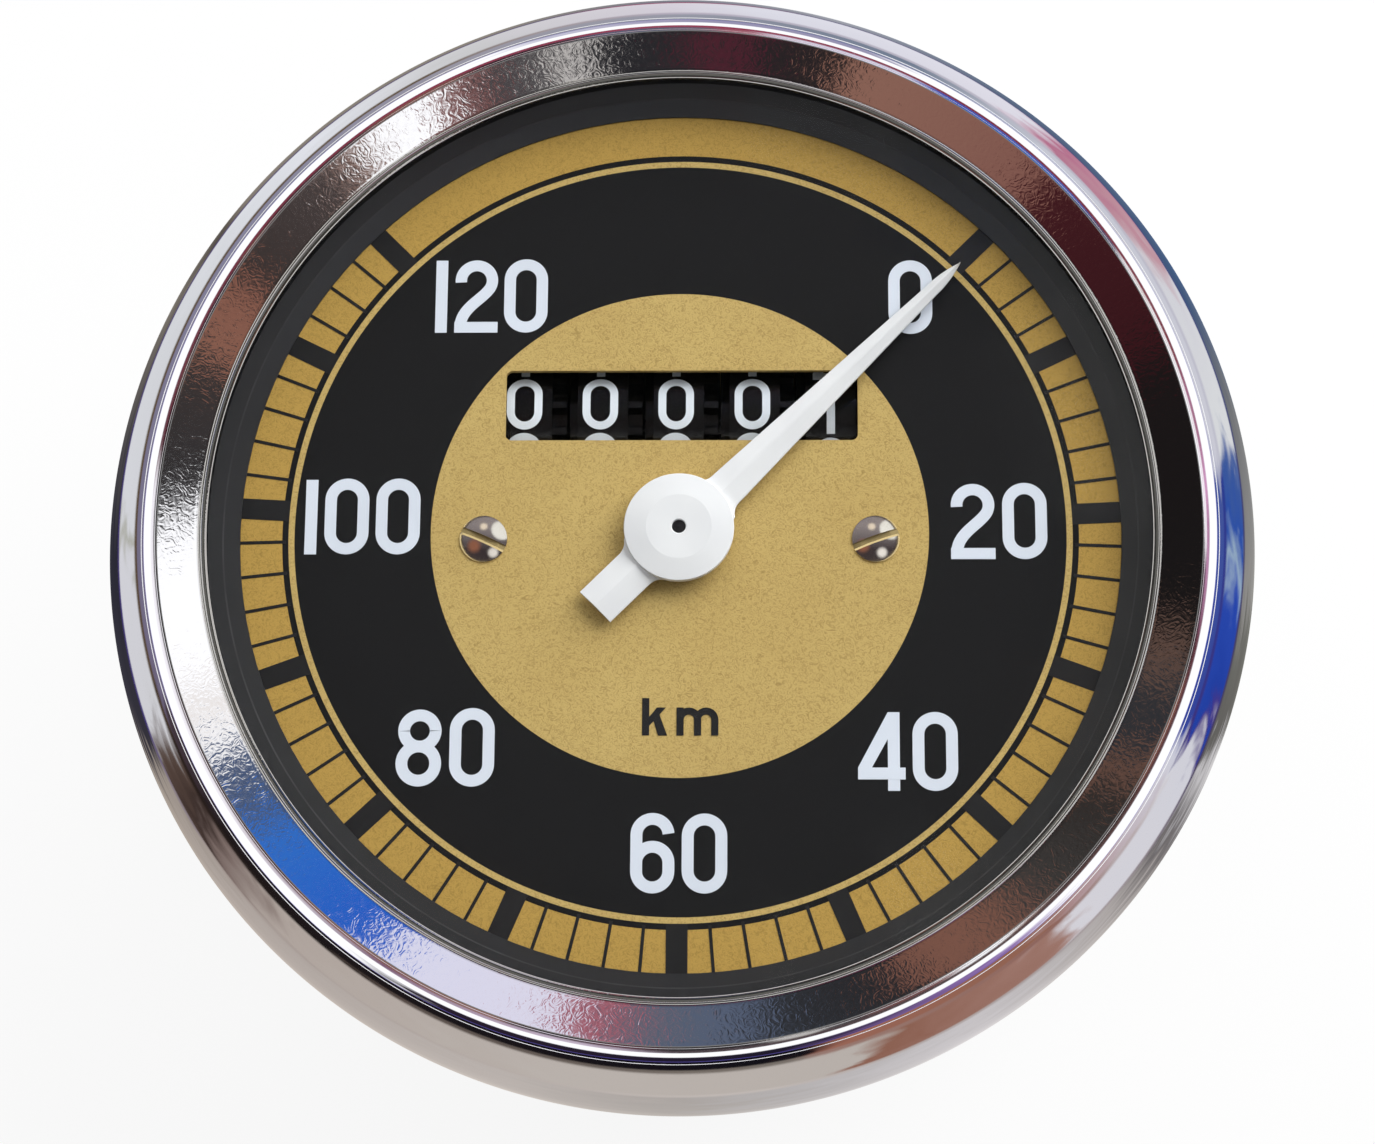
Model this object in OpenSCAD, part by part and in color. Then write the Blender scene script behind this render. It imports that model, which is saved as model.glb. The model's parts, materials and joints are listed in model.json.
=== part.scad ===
// Eddy-current speedometer with a five-figure distance counter, for a round hole in a panel.
// +Z is the axis of the instrument, towards the viewer. +Y points at 12 o'clock, +X at 3 o'clock.
// The origin is on the axis, in the plane of the panel that the seal ring rests on.

/* [Case] */
// Depth of the case behind the panel
case_depth = 44.2; // [40:0.2:52]
// Thickness of the case sheet
case_wall = 0.8; // [0.6:0.1:1]
// Distance from the outside of the bezel in to the edge of the case's flange
flange_in = 1.4; // [1.1:0.1:1.8]
// Width of the flange round the case barrel
flange_w = 2.6; // [2.2:0.1:3]
// Corner radius where the case barrel meets its back
case_corner_r = 4; // [2:0.5:5]
// Thickness of the rubber seal ring
seal_t = 1.5; // [1:0.1:2]

/* [Bezel and glass] */
// Outside diameter of the bezel
bezel_d = 88; // [80:0.5:100]
// Width of the bezel seen from the front
face_w = 8; // [7.6:0.1:9]
// Thickness of the bezel sheet
bezel_t = 0.5; // [0.4:0.05:0.6]
// Width of the flat lip that holds the glass
bezel_lip_w = 1; // [0.6:0.1:1.4]
// Distance from the outside of the bezel in to its crest
crest_in = 4; // [3.6:0.1:4.2]
// Height of the crest above the lip
crest_rise = 0.8; // [0.4:0.1:1]
// Thickness of the glass
glass_t = 0.9; // [0.8:0.05:1.1]
// Distance from the outside of the bezel in to the edge of the glass
glass_in = 3.5; // [3.4:0.1:4.2]
// Thickness of the rubber gasket under the glass
gasket_t = 0.2; // [0.15:0.05:0.4]
// Gap from the pointer cap to the underside of the glass
cap_to_glass = 0.2; // [0.15:0.05:0.6]
// Width of the spacer ring between the bezel's opening and the dial in sight
sight_in = 2.3; // [1.8:0.1:3]

/* [Dial] */
// Thickness of the dial plate
dial_t = 0.5; // [0.4:0.05:0.6]
// Distance from the outside of the bezel in to the edge of the dial plate
dial_in = 5.3; // [5.2:0.1:6]
// Width of the window for the number wheels
window_w = 27.2; // [26.6:0.1:27.6]
// Height of the window for the number wheels
window_h = 5.6; // [5:0.1:6]
// Corner radius of the window
window_r = 0.5; // [0.2:0.1:1]
// Distance from the axis to each dial screw
dial_screw_x = 15; // [14.5:0.1:15.5]
// Head diameter of the dial screws
dial_screw_head_d = 3.5; // [3:0.1:3.6]
// Head height of the dial screws
dial_screw_head_h = 0.5; // [0.4:0.05:0.55]
// Shank diameter of the dial screws
dial_screw_d = 2; // [1.6:0.1:2.4]
// Diameter of the dial pillars
pillar_d = 4; // [3.4:0.1:4.2]

/* [Pointer] */
// Distance from the axis to the tip of the pointer
pointer_reach = 29.6; // [28:0.1:31]
// Distance from the axis to the end of the pointer's tail
pointer_tail = 8.8; // [7:0.1:10]
// Width of the pointer's tail
tail_w = 3.3; // [2.6:0.1:3.8]
// Thickness of the pointer at its edges
pointer_t = 0.35; // [0.3:0.05:0.45]
// Gap from the dial to the underside of the pointer
pointer_gap = 0.7; // [0.65:0.05:0.9]
// Diameter of the pointer cap
cap_d = 8.4; // [7.6:0.1:9]
// Height of the pointer cap
cap_h = 0.7; // [0.6:0.05:0.9]
// Compass angle of the pointer at rest, from 12 o'clock
zero_angle = 45; // [40:1:50]
// Travel of the pointer from stop to stop, in degrees
pointer_travel = 276; // [272:1:284]
// Diameter of the pointer spindle
pointer_spindle_d = 1.2; // [1:0.05:1.3]

/* [Movement] */
// Outside diameter of the speed cup
cup_d = 25; // [24.6:0.1:25.4]
// Depth of the speed cup
cup_h = 6; // [5:0.1:6.5]
// Wall of the speed cup
cup_wall = 0.4; // [0.3:0.05:0.5]
// Diameter of the magnet
magnet_d = 22.6; // [21.6:0.1:23]
// Height of the magnet
magnet_h = 4.6; // [4:0.1:4.8]
// Wall of the flux ring
flux_wall = 1.3; // [1:0.05:1.5]
// Number of turns of the hairspring
spring_turns = 4; // [3:1:5]
// Width of the hairspring strip
spring_strip_h = 0.5; // [0.4:0.05:0.6]
// Distance from the axis to the stop pins
stop_r = 8; // [7.5:0.1:9]
// Diameter of the stop pins
stop_pin_d = 1; // [0.8:0.05:1.2]
// Depth of the upper bridge below the panel plane
bridge_z = 13; // [12.9:0.05:13.1]
// Thickness of the upper bridge
bridge_t = 1.2; // [1:0.05:1.3]
// Thickness of the base of the movement frame
frame_base_t = 3; // [2.6:0.1:3.2]
// Gap between the round base of the movement frame and the lamp holder
base_lamp_gap = 1.1; // [0.6:0.1:2]
// Distance of each frame screw in from the edge of that base
frame_screw_in = 5; // [4:0.5:6]
// Distance between the two towers of the frame
tower_gap = 40.4; // [40.2:0.1:41]
// Thickness of each tower of the frame
tower_t = 4.6; // [4:0.1:5]

/* [Worm train] */
// Pitch radius of both worms that drive the large wheels
worm_r = 1.9; // [1.7:0.05:2.2]
// Share of the free height that lies under the large wheels, the rest being above them
train_place = 0.34375; // [0.25:0.00625:0.5]
// Width of the worm wheels
wheel_w = 1.6; // [1.4:0.1:1.8]
// Length of the worms
worm_len = 6; // [5:0.2:6.2]
// Diameter of the cross shaft and of the upright shaft
shaft_d = 1.6; // [1.4:0.05:1.8]
// Module of the gear on the units wheel
odo_module = 0.28; // [0.26:0.01:0.3]
// Pitch radius of the worm that drives the units wheel
odo_worm_r = 1.1; // [1.05:0.05:1.3]

/* [Distance counter] */
// Radius of the number wheels
drum_r = 7.1; // [6.9:0.05:7.2]
// Distance between neighbouring number wheels
wheel_pitch = 5.9; // [5.8:0.01:5.95]
// Distance of the wheel axle above the instrument's centre, towards 12 o'clock
axle_y = 10.2; // [10:0.05:10.4]
// Gap between the number wheels and the underside of the dial
drum_gap = 0.6; // [0.4:0.05:0.7]
// Width of the band that carries the figures
drum_w = 3.9; // [3.7:0.05:3.95]
// Width of the toothed ring beside the figures
ring_w = 1.1; // [1:0.05:1.15]
// Width of the transfer disc on the other side of a wheel
transfer_w = 0.7; // [0.6:0.05:0.75]
// Diameter of the wheel axle
axle_d = 2; // [1.6:0.1:2.4]
// Diameter of the pinion shaft
pinion_shaft_d = 1.6; // [1.4:0.1:1.8]
// Thickness of the counter's side brackets
bracket_t = 0.8; // [0.6:0.1:1]

/* [Drive and fixings] */
// Diameter of the thread that the cable nut screws on to
nipple_d = 12; // [11:0.5:13]
// Length of that thread
nipple_thread_len = 10.8; // [9:0.2:12]
// Diameter of the drive spindle's journal
journal_d = 6; // [5.6:0.1:6.4]
// Width across flats of the square socket in the drive spindle
socket_w = 2.7; // [2.5:0.1:3]
// Depth of the square socket
socket_depth = 14; // [10:0.5:15]
// Diameter of the mounting studs
stud_d = 4; // [4:0.5:5]
// Distance from the case barrel in to each mounting stud
stud_in = 12; // [10:0.5:14]
// Length of the mounting studs behind the case
stud_len = 12; // [10:0.5:15]
// Gap between the lamp holder, which fills the room beside the movement, and the wall of the case
lamp_margin = 2.3; // [2:0.1:2.8]

/* [Hidden] */
$fn = 96;

// Clearances that the fits share
run_gap = 0.04;
slip_gap = 0.05;

// Case, flange and bezel
bezel_r = bezel_d / 2;
flange_r = bezel_r - flange_in;
case_r = flange_r - flange_w;
case_in_r = case_r - case_wall;
crimp_z = seal_t + bezel_t;
flange_z = crimp_z + case_wall;
case_floor_z = case_wall - case_depth;
lip_r = bezel_r - face_w;
crest_r = bezel_r - crest_in;
crimp_overlap = 1.6;
shoulder_w = 0.5;
seal_in_r = case_r + shoulder_w + 0.1;
seal_rim = 0.4;
bezel_side_h = 1.5;
bezel_shoulder_r = 1.1;
crest_bead_r = 0.55;
groove_out = 0.75;

// Front stack, from the dial up to the bezel
dial_seat_over_flange = 0.3;
dial_under_z = flange_z + dial_seat_over_flange;
dial_top_z = dial_under_z + dial_t;
pointer_z = dial_top_z + pointer_gap;
cap_z = pointer_z + pointer_t;
glass_under_z = cap_z + cap_h + cap_to_glass;
spacer_top_z = glass_under_z - gasket_t;
spacer_h = spacer_top_z - dial_top_z;
glass_top_z = glass_under_z + glass_t;
lip_top_z = glass_top_z + bezel_t;
crest_z = lip_top_z + crest_rise;
spacer_sight_r = lip_r - sight_in;
spacer_step = 1.1;
spacer_mouth_r = lip_r - 0.1;
glass_r = bezel_r - glass_in;
spacer_rim_r = glass_r + 0.5;
dial_r = bezel_r - dial_in;
dial_edge_gap = 0.2;
gasket_w = 4.2;

// Dial furniture
window_x = 0.1;
window_y = axle_y - 0.15;
dial_bore_r = pointer_spindle_d / 2 + 1;
dial_screw_y = -0.6;
dial_screw_len = 6;
slot_w = 0.55;
slot_depth = 0.3;
left_slot_angle = -24;
right_slot_angle = 20;

// Pointer
ridge_rise = 0.25;
hub_r = cap_d / 2 - 0.35;
hub_under = 0.1;
arm_root_w = 3.1;
arm_tip_w = 1;
arm_point_len = 3;
cap_flat_r = cap_d / 2 - 1.7;
cap_hole_r = pointer_spindle_d / 2 + run_gap;
spindle_top_z = cap_z + cap_h - 0.25;
rest_turn = 90 - zero_angle;

// Upper bridge and what hangs under it
bridge_top_z = -bridge_z;
bridge_under_z = bridge_top_z - bridge_t;
lever_t = 0.4;
lever_w = 1.6;
lever_stud_r = 0.4;
lever_angle = 60;
spring_z = bridge_under_z - lever_t - 0.1 - spring_strip_h;
spring_strip_t = 0.2;
spring_in_r = pointer_spindle_d / 2 + 1;
spring_out_r = 6;
collet_r = spring_in_r - spring_strip_t / 2 - 0.1;
collet_h = spring_strip_h + 0.3;
arm_t = 0.5;
arm_z = spring_z - 0.2 - arm_t;
arm_w = 1;
arm_over = 0.8;
arm_hub_r = 1.5;
cup_top_z = arm_z - 0.5;
stop_half_angle = asin((stop_pin_d + arm_w) / 2 / stop_r) + 0.3;
arm_angle = zero_angle + 180;
bush_r = 2;
bush_flange_r = 2.6;
bush_flange_t = 0.6;

// Magnet, speed cup and flux ring
cup_r = cup_d / 2;
magnet_r = magnet_d / 2;
magnet_top_z = cup_top_z - cup_wall - 0.5;
magnet_z = magnet_top_z - magnet_h;
flux_in_r = cup_r + 1.6;
flux_out_r = flux_in_r + flux_wall;
flux_top_z = cup_top_z + 0.4;
flux_z = cup_top_z - cup_h - 0.6;
spindle_neck_r = 0.9;
spindle_hub_r = 3;
spindle_hub_h = 1.2;
pivot_r = 0.35;
pivot_depth = 1.2;
pivot_gap = 0.25;

// Movement frame
frame_floor_z = case_floor_z;
frame_base_z = frame_floor_z + frame_base_t;
boss_r = 8;
boss_h = 1.8;
boss_top_z = frame_base_z + boss_h;
tower_in_x = tower_gap / 2;
tower_out_x = tower_in_x + tower_t;
frame_base_r = tower_out_x + 0.2;
lamp_r = (case_in_r - lamp_margin - frame_base_r - base_lamp_gap) / 2;
lamp_y = case_in_r - lamp_margin - lamp_r;
tower_half_y = 9.4;
shelf_t = 1.6;
shelf_in_r = flux_in_r - 0.7;
shelf_out_r = tower_in_x + 0.6;
rim_w = 1.6;
rim_h = 2.6;
bridge_screw_x = (tower_in_x + tower_out_x) / 2;
bridge_screw_y = 4;
bridge_screw_r = 1;
bridge_screw_head_r = 1.7;
bridge_screw_head_h = 0.8;
bridge_screw_slot = 35;
screw_len = 4;

// Worm train: the drive spindle turns the cross shaft, that turns the upright shaft, that the units wheel.
// The teeth of the wheels are the ratios of the joints. The upright shaft stands where its worm meets the
// units wheel's gear, and the cross shaft halfway out to it.
first_teeth = 20;
odo_teeth = 25;
odo_r = odo_module * odo_teeth / 2;
upright_y = axle_y + odo_r + odo_worm_r;
cross_y = upright_y / 2;
first_r = cross_y - worm_r;
first_module = 2 * first_r / first_teeth;
first_addendum = 9 / 11 * first_module;
first_dedendum = 12 / 11 * first_module;
first_tip_r = first_r + first_addendum;
train_slack = magnet_z - boss_top_z - 2 * first_tip_r;
train_level = boss_top_z + train_place * train_slack + first_tip_r;
odo_addendum = 0.22;
odo_dedendum = 0.3;
odo_worm_len = 5;
shaft_r = shaft_d / 2;
bearing_r = 1.3;
bush_len = 4;
press_gap = 0.01;
cross_end = tower_in_x + 2.6;
hub_over = 2;
first_pitch = PI * first_module;
odo_pitch = PI * odo_module;
upright_neck_r = 0.45;
hub_wall = 1.1;
post_r = 2.3;
post_top_z = train_level - wheel_w / 2 - 1.9;

// Distance counter
wheel_count = 5;
wheel_x = [for (i = [1 : wheel_count]) (i - 3) * wheel_pitch - 0.15];
axle_z = dial_under_z - drum_gap - drum_r;
axle_r = axle_d / 2;
ring_teeth = 20;
pinion_teeth = 8;
ring_module = 0.62;
ring_r = ring_module * ring_teeth / 2;
ring_tip_r = ring_r + 0.5;
ring_root_r = ring_r - 0.6;
ring_tooth_root = 0.45;
ring_tooth_tip = 0.25;
pinion_r = ring_module * pinion_teeth / 2;
pinion_tip_r = pinion_r + 0.5;
pinion_root_r = pinion_r - 0.6;
pinion_tooth_root = 0.42;
pinion_tooth_tip = 0.22;
finger_w = 0.6;
finger_spread = 9;
finger_turn = 27;
units_finger_turn = 51;
pinion_turn = -30;
pinion_reach = ring_r + pinion_r;
pinion_y = axle_y + pinion_reach * cos(pinion_turn);
pinion_z = axle_z + pinion_reach * sin(pinion_turn);
pinion_shaft_r = pinion_shaft_d / 2;
disc_r = pinion_reach - pinion_tip_r - 0.2;
ring_x = drum_w / 2;
disc_x = -drum_w / 2 - transfer_w;
pinion_w = wheel_pitch - drum_w - 2 * run_gap;
ring_end_x = wheel_x[wheel_count - 1] + drum_w / 2 + ring_w;
odo_gear_w = 1.4;
odo_gear_x = ring_end_x + 1;
upright_x = odo_gear_x + odo_gear_w / 2;
bracket_left_x = wheel_x[0] - drum_w / 2 - transfer_w - bracket_t - 0.4;
bracket_right_x = odo_gear_x + odo_gear_w + 1;
bracket_low_y = axle_y - 4;
bracket_high_y = pinion_y + 2.4;
bracket_top_z = axle_z + 2.6;
foot_w = 4.2;
foot_screw_r = 0.8;
foot_screw_head_r = 1.4;
foot_screw_head_h = 0.6;
foot_screw_x = [bracket_left_x - foot_w / 2, bracket_right_x + bracket_t + foot_w / 2];
foot_screw_y = [bracket_low_y + 2, bracket_high_y - 2];
axle_over = 0.8;

// Drive, nipple and fixings on the back
journal_r = journal_d / 2;
nipple_flange_r = 8.5;
nipple_flange_t = 2;
nipple_bore_r = journal_r + run_gap;
nipple_spigot_r = 5.4;
nipple_end_z = -case_depth - nipple_flange_t - nipple_thread_len;
washer_t = 0.4;
washer_r = 4.6;
washer_top_z = boss_top_z + washer_t;
collar_r = 4;
collar_h = 0.7;
journal_end_z = nipple_end_z + 1;
frame_screw_ring_r = frame_base_r - frame_screw_in;
frame_screw_angles = [90, 210, 330];
frame_screw_head_r = 2.8;
frame_screw_head_h = 1.8;
frame_screw_r = 1.5;
frame_screw_depth = 2.6;
stud_x = case_r - stud_in;
stud_pad_r = 4.5;
stud_pad_t = 0.8;
lamp_flange_r = lamp_r + 1.6;
lamp_flange_t = 1;
lamp_wall = 0.9;
lamp_depth = 8;
lamp_tail = 6;
lamp_floor_t = 1;
bulb_r = lamp_r - lamp_wall - 0.1;
bulb_neck = 2.6;

// Points of a polygon ring with straight-sided teeth, with a tooth centred at angle 0
function tooth_points(teeth, root, tip, root_half, tip_half) = [
    for (i = [0 : teeth - 1])
        for (p = [[-root_half, root], [-tip_half, tip], [tip_half, tip], [root_half, root]])
            let (a = 360 * i / teeth + asin(p[0] / p[1])) p[1] * [cos(a), sin(a)]];

// Height of a worm's thread, from 0 in the groove to 1 on the crest, for a place within one pitch
function thread_rise(place, crest_share) =
    let (off = abs(place - floor(place + 0.5)) - crest_share / 2, flank = 0.14)
    off <= 0 ? 1 : off >= flank ? 0 : 1 - off / flank;

// Points of an arc from angle a to angle b
function arc_points(centre, r, a, b, steps) =
    [for (i = [0 : steps]) centre + r * [cos(a + (b - a) * i / steps), sin(a + (b - a) * i / steps)]];

// Straight cylinder from z0 to z1
module rod(r, z0, z1) {
    translate([0, 0, z0]) cylinder(r = r, h = z1 - z0);
}

// Flat ring from z0 to z1
module tube(out_r, in_r, z0, z1) {
    translate([0, 0, z0])
        linear_extrude(z1 - z0)
            difference() {
                circle(out_r);
                circle(in_r);
            }
}

// Cylinder along X from x0 to x1
module rod_x(r, x0, x1) {
    translate([x0, 0, 0]) rotate([0, 90, 0]) cylinder(r = r, h = x1 - x0);
}

// Toothed wheel with a true bore, with its middle plane at height 0
module toothed_wheel(teeth, r, addendum, dedendum, w, bore_r, hub_r, hub_w) {
    tooth_half = PI * r / teeth * 0.24;
    difference() {
        union() {
            translate([0, 0, -w / 2])
                linear_extrude(w)
                    polygon(tooth_points(teeth, r - dedendum, r + addendum, tooth_half * 1.5,
                        tooth_half * 0.8));
            rod(hub_r, -hub_w / 2, hub_w / 2);
        }
        rod(bore_r, -hub_w, hub_w);
    }
}

// Worm along Z with its middle at height 0. A crest faces angle 0 there. hand is 1 for a right-hand thread.
module worm(core_r, tip_r, pitch, len, hand, bore_r) {
    sides = 24;
    rings = ceil(len / pitch * 12);
    points = [
        for (k = [0 : rings])
            for (s = [0 : sides - 1])
                let (
                    z = len * (k / rings - 0.5),
                    a = 360 * s / sides,
                    r = core_r + (tip_r - core_r) * thread_rise(z / pitch - hand * a / 360, 0.2)
                ) [r * cos(a), r * sin(a), z]];
    walls = [
        for (k = [0 : rings - 1])
            for (s = [0 : sides - 1])
                let (
                    a = k * sides + s,
                    b = k * sides + (s + 1) % sides
                ) each [[a, a + sides, b], [b, a + sides, b + sides]]];
    low = [for (s = [1 : sides - 2]) [0, s, s + 1]];
    high = [for (s = [1 : sides - 2]) [rings * sides, rings * sides + s + 1, rings * sides + s]];
    difference() {
        polyhedron(points, concat(walls, low, high));
        rod(bore_r, -len, len);
    }
}

// Slotted screw along Z, with the underside of its head at height 0 and its shank below
module slotted_screw(head_r, head_h, shank_r, shank_len, slot_angle) {
    dome_r = (head_r * head_r + head_h * head_h) / (2 * head_h);
    difference() {
        union() {
            intersection() {
                rod(head_r, 0, head_h);
                translate([0, 0, head_h - dome_r]) sphere(dome_r);
            }
            rod(shank_r, -shank_len, 0);
        }
        rotate(slot_angle)
            translate([-head_r, -slot_w / 2, head_h - slot_depth])
                cube([2 * head_r, slot_w, head_h]);
    }
}

// Rectangle with round corners, centred
module round_window(w, h, r) {
    square([w - 2 * r, h], center = true);
    square([w, h - 2 * r], center = true);
    for (sx = [-1, 1], sy = [-1, 1])
        translate([sx * (w / 2 - r), sy * (h / 2 - r)]) circle(r);
}

// Bezel: one skin from the crimp under the flange, up the side, over the crest and in to the lip
module bezel_ring() {
    side_top = [bezel_r, crimp_z + bezel_side_h];
    groove_r = crest_r + groove_out;
    skin = concat(
        [[bezel_r - crimp_overlap - bezel_t, seal_t], [bezel_r - 0.4, seal_t], [bezel_r, seal_t + 0.4]],
        arc_points([bezel_r - bezel_shoulder_r, side_top[1]], bezel_shoulder_r, 0, 24, 4),
        [[groove_r + 0.15, crest_z - crest_bead_r - 0.4], [groove_r, crest_z - crest_bead_r - 0.15]],
        arc_points([crest_r, crest_z - crest_bead_r], crest_bead_r, 5, 100, 8),
        [[lip_r + bezel_lip_w, lip_top_z + 0.1], [lip_r + bezel_lip_w - 0.2, lip_top_z]],
        [[lip_r + 0.25, lip_top_z]],
        arc_points([lip_r + bezel_t / 2, lip_top_z - bezel_t / 2], bezel_t / 2, 90, 270, 6));
    inside = [
        [lip_r + 0.25, glass_top_z],
        [crest_r - 1.4, glass_top_z],
        [crest_r - 0.6, crest_z - bezel_t - 0.1],
        [crest_r + 0.05, crest_z - bezel_t - 0.15],
        [groove_r - bezel_t, crest_z - 0.9],
        [glass_r + 0.35, glass_top_z - 0.3],
        [bezel_r - bezel_shoulder_r + 0.35, side_top[1] + 0.3],
        [bezel_r - bezel_t, side_top[1] - 0.2],
        [bezel_r - bezel_t, crimp_z],
        [bezel_r - crimp_overlap - bezel_t, crimp_z]];
    color("silver")
        rotate_extrude() polygon(concat(skin, inside));
}

// Flat glass under the lip of the bezel
module glass() {
    color([0.85, 0.92, 0.95, 0.3])
        rod(glass_r, glass_under_z, glass_top_z);
}

// Rubber ring that the glass lies on
module glass_gasket() {
    color([0.1, 0.1, 0.1])
        tube(glass_r, glass_r - gasket_w, spacer_top_z, glass_under_z);
}

// Dark ring in two steps that frames the dial, stands on the case flange and carries the glass
module spacer_ring() {
    color([0.14, 0.14, 0.15])
        rotate_extrude()
            polygon([
                [spacer_sight_r, dial_top_z],
                [spacer_sight_r, dial_top_z + 0.15],
                [spacer_sight_r + spacer_step, dial_top_z + spacer_h * 0.55],
                [spacer_sight_r + spacer_step + 0.1, dial_top_z + spacer_h * 0.6],
                [spacer_mouth_r, spacer_top_z],
                [spacer_rim_r, spacer_top_z],
                [spacer_rim_r, flange_z],
                [dial_r + dial_edge_gap, flange_z],
                [dial_r + dial_edge_gap, dial_top_z]]);
}

// Dial plate with its bore, screw holes and window
module dial() {
    color([0.13, 0.13, 0.13])
        translate([0, 0, dial_under_z])
            linear_extrude(dial_t)
                difference() {
                    circle(dial_r);
                    circle(dial_bore_r);
                    for (s = [-1, 1])
                        translate([s * dial_screw_x, dial_screw_y]) circle(dial_screw_d / 2 + slip_gap);
                    translate([window_x, window_y]) round_window(window_w, window_h, window_r);
                }
}

// Two domed screws that hold the dial on its pillars
module dial_screws() {
    color([0.75, 0.74, 0.7]) {
        translate([-dial_screw_x, dial_screw_y, dial_top_z])
            slotted_screw(dial_screw_head_d / 2, dial_screw_head_h, dial_screw_d / 2, dial_screw_len,
                left_slot_angle);
        translate([dial_screw_x, dial_screw_y, dial_top_z])
            slotted_screw(dial_screw_head_d / 2, dial_screw_head_h, dial_screw_d / 2, dial_screw_len,
                right_slot_angle);
    }
}

// Two pillars from the upper bridge to the dial
module dial_pillars() {
    color([0.78, 0.63, 0.3])
        for (s = [-1, 1])
            translate([s * dial_screw_x, dial_screw_y, 0])
                difference() {
                    rod(pillar_d / 2, bridge_top_z, dial_under_z);
                    rod(dial_screw_d / 2 + slip_gap, dial_top_z - dial_screw_len - 0.5, dial_top_z);
                }
}

// Outline of the pointer's arm and tail from above, along +X, with a curved point on the arm
module pointer_outline() {
    root_x = hub_r - 0.6;
    point_steps = 5;
    side = [
        for (i = [0 : point_steps])
            let (t = i / point_steps)
                [pointer_reach - arm_point_len * (1 - t), arm_tip_w / 2 * (1 - t * t)]];
    polygon(concat(
        [[root_x, -arm_root_w / 2]],
        [for (p = side) [p[0], -p[1]]],
        [for (i = [point_steps - 1 : -1 : 0]) side[i]],
        [[root_x, arm_root_w / 2]]));
    translate([-pointer_tail, -tail_w / 2]) square([pointer_tail - root_x, tail_w]);
}

// Arm and tail of the pointer, with a low ridge line along the middle like a roof
module pointer_blade() {
    half = tail_w / 2 + 0.2;
    eave = pointer_t - 0.08;
    intersection() {
        linear_extrude(pointer_t + 1) pointer_outline();
        translate([-pointer_tail - 1, 0, 0])
            rotate([90, 0, 90])
                linear_extrude(pointer_tail + pointer_reach + 2)
                    polygon([[-half, 0], [half, 0], [half, eave], [0, pointer_t + ridge_rise], [-half, eave]]);
    }
}

// White pointer with a flat round hub
module pointer() {
    color("white")
        translate([0, 0, pointer_z])
            rotate(rest_turn)
                difference() {
                    union() {
                        pointer_blade();
                        rod(hub_r, -hub_under, pointer_t);
                    }
                    rod(pointer_spindle_d / 2, -1, pointer_t + 1);
                }
}

// Cap pressed over the pointer's hub, hollow over the arm's ridges
module pointer_cap() {
    color("white")
        difference() {
            rotate_extrude()
                polygon([
                    [0, cap_z],
                    [cap_d / 2, cap_z],
                    [cap_d / 2, cap_z + 0.12],
                    [cap_flat_r, cap_z + cap_h],
                    [0, cap_z + cap_h]]);
            rod(cap_hole_r, cap_z - 1, cap_z + cap_h + 1);
            rotate(rest_turn)
                for (side = [[-pointer_tail, tail_w], [hub_r - 0.65, arm_root_w]])
                    translate([side[0], -side[1] / 2 - 0.1, cap_z - 0.1])
                        cube([pointer_tail - hub_r + 0.75, side[1] + 0.2, ridge_rise + 0.15]);
        }
}

// Thin steel spindle of the pointer, with a fine pivot at its foot
module pointer_spindle() {
    color([0.6, 0.6, 0.62]) {
        rod(pointer_spindle_d / 2, magnet_top_z + pivot_gap, spindle_top_z);
        rod(pivot_r, magnet_top_z - pivot_depth, magnet_top_z + pivot_gap);
    }
}

// Brass collet that the hairspring's inner end is pinned to
module spring_collet() {
    color([0.8, 0.65, 0.3])
        tube(collet_r, pointer_spindle_d / 2, spring_z - 0.1, spring_z + spring_strip_h);
}

// Flat spiral spring round the collet, out to the stud of the regulator lever
module hairspring() {
    steps = spring_turns * 40;
    turn = lever_angle - 360 * spring_turns;
    line = [for (i = [0 : steps])
        [spring_in_r + (spring_out_r - spring_in_r) * i / steps, turn + 360 * spring_turns * i / steps]];
    outer = [for (p = line) (p[0] + spring_strip_t / 2) * [cos(p[1]), sin(p[1])]];
    inner = [for (i = [steps : -1 : 0])
        let (p = line[i]) (p[0] - spring_strip_t / 2) * [cos(p[1]), sin(p[1])]];
    color([0.35, 0.4, 0.55])
        translate([0, 0, spring_z])
            linear_extrude(spring_strip_h) polygon(concat(outer, inner));
}

// Lever under the bridge, whose stud holds the hairspring's outer end
module regulator_lever() {
    stud_centre = spring_out_r + spring_strip_t / 2 + lever_stud_r + 0.05;
    color([0.75, 0.6, 0.3])
        rotate(lever_angle) {
            translate([0, 0, bridge_under_z - lever_t])
                linear_extrude(lever_t)
                    difference() {
                        union() {
                            circle(bush_r + 1.4);
                            translate([0, -lever_w / 2]) square([stud_centre + 1, lever_w]);
                        }
                        circle(bush_r + slip_gap);
                    }
            translate([stud_centre, 0, 0]) rod(lever_stud_r, spring_z, bridge_under_z - lever_t);
        }
}

// Arm on the pointer spindle that runs against the stop pins
module stop_arm() {
    color([0.7, 0.7, 0.72])
        rotate(90 - arm_angle)
            translate([0, 0, arm_z])
                linear_extrude(arm_t)
                    difference() {
                        union() {
                            circle(arm_hub_r);
                            translate([0, -arm_w / 2]) square([stop_r + arm_over, arm_w]);
                        }
                        circle(pointer_spindle_d / 2);
                    }
}

// Two pins under the bridge that end the pointer's travel
module stop_pins() {
    color([0.6, 0.6, 0.62])
        for (a = [arm_angle - stop_half_angle, arm_angle + pointer_travel + stop_half_angle])
            rotate(90 - a)
                translate([stop_r, 0, 0]) rod(stop_pin_d / 2, arm_z - 0.1, bridge_under_z);
}

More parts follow.
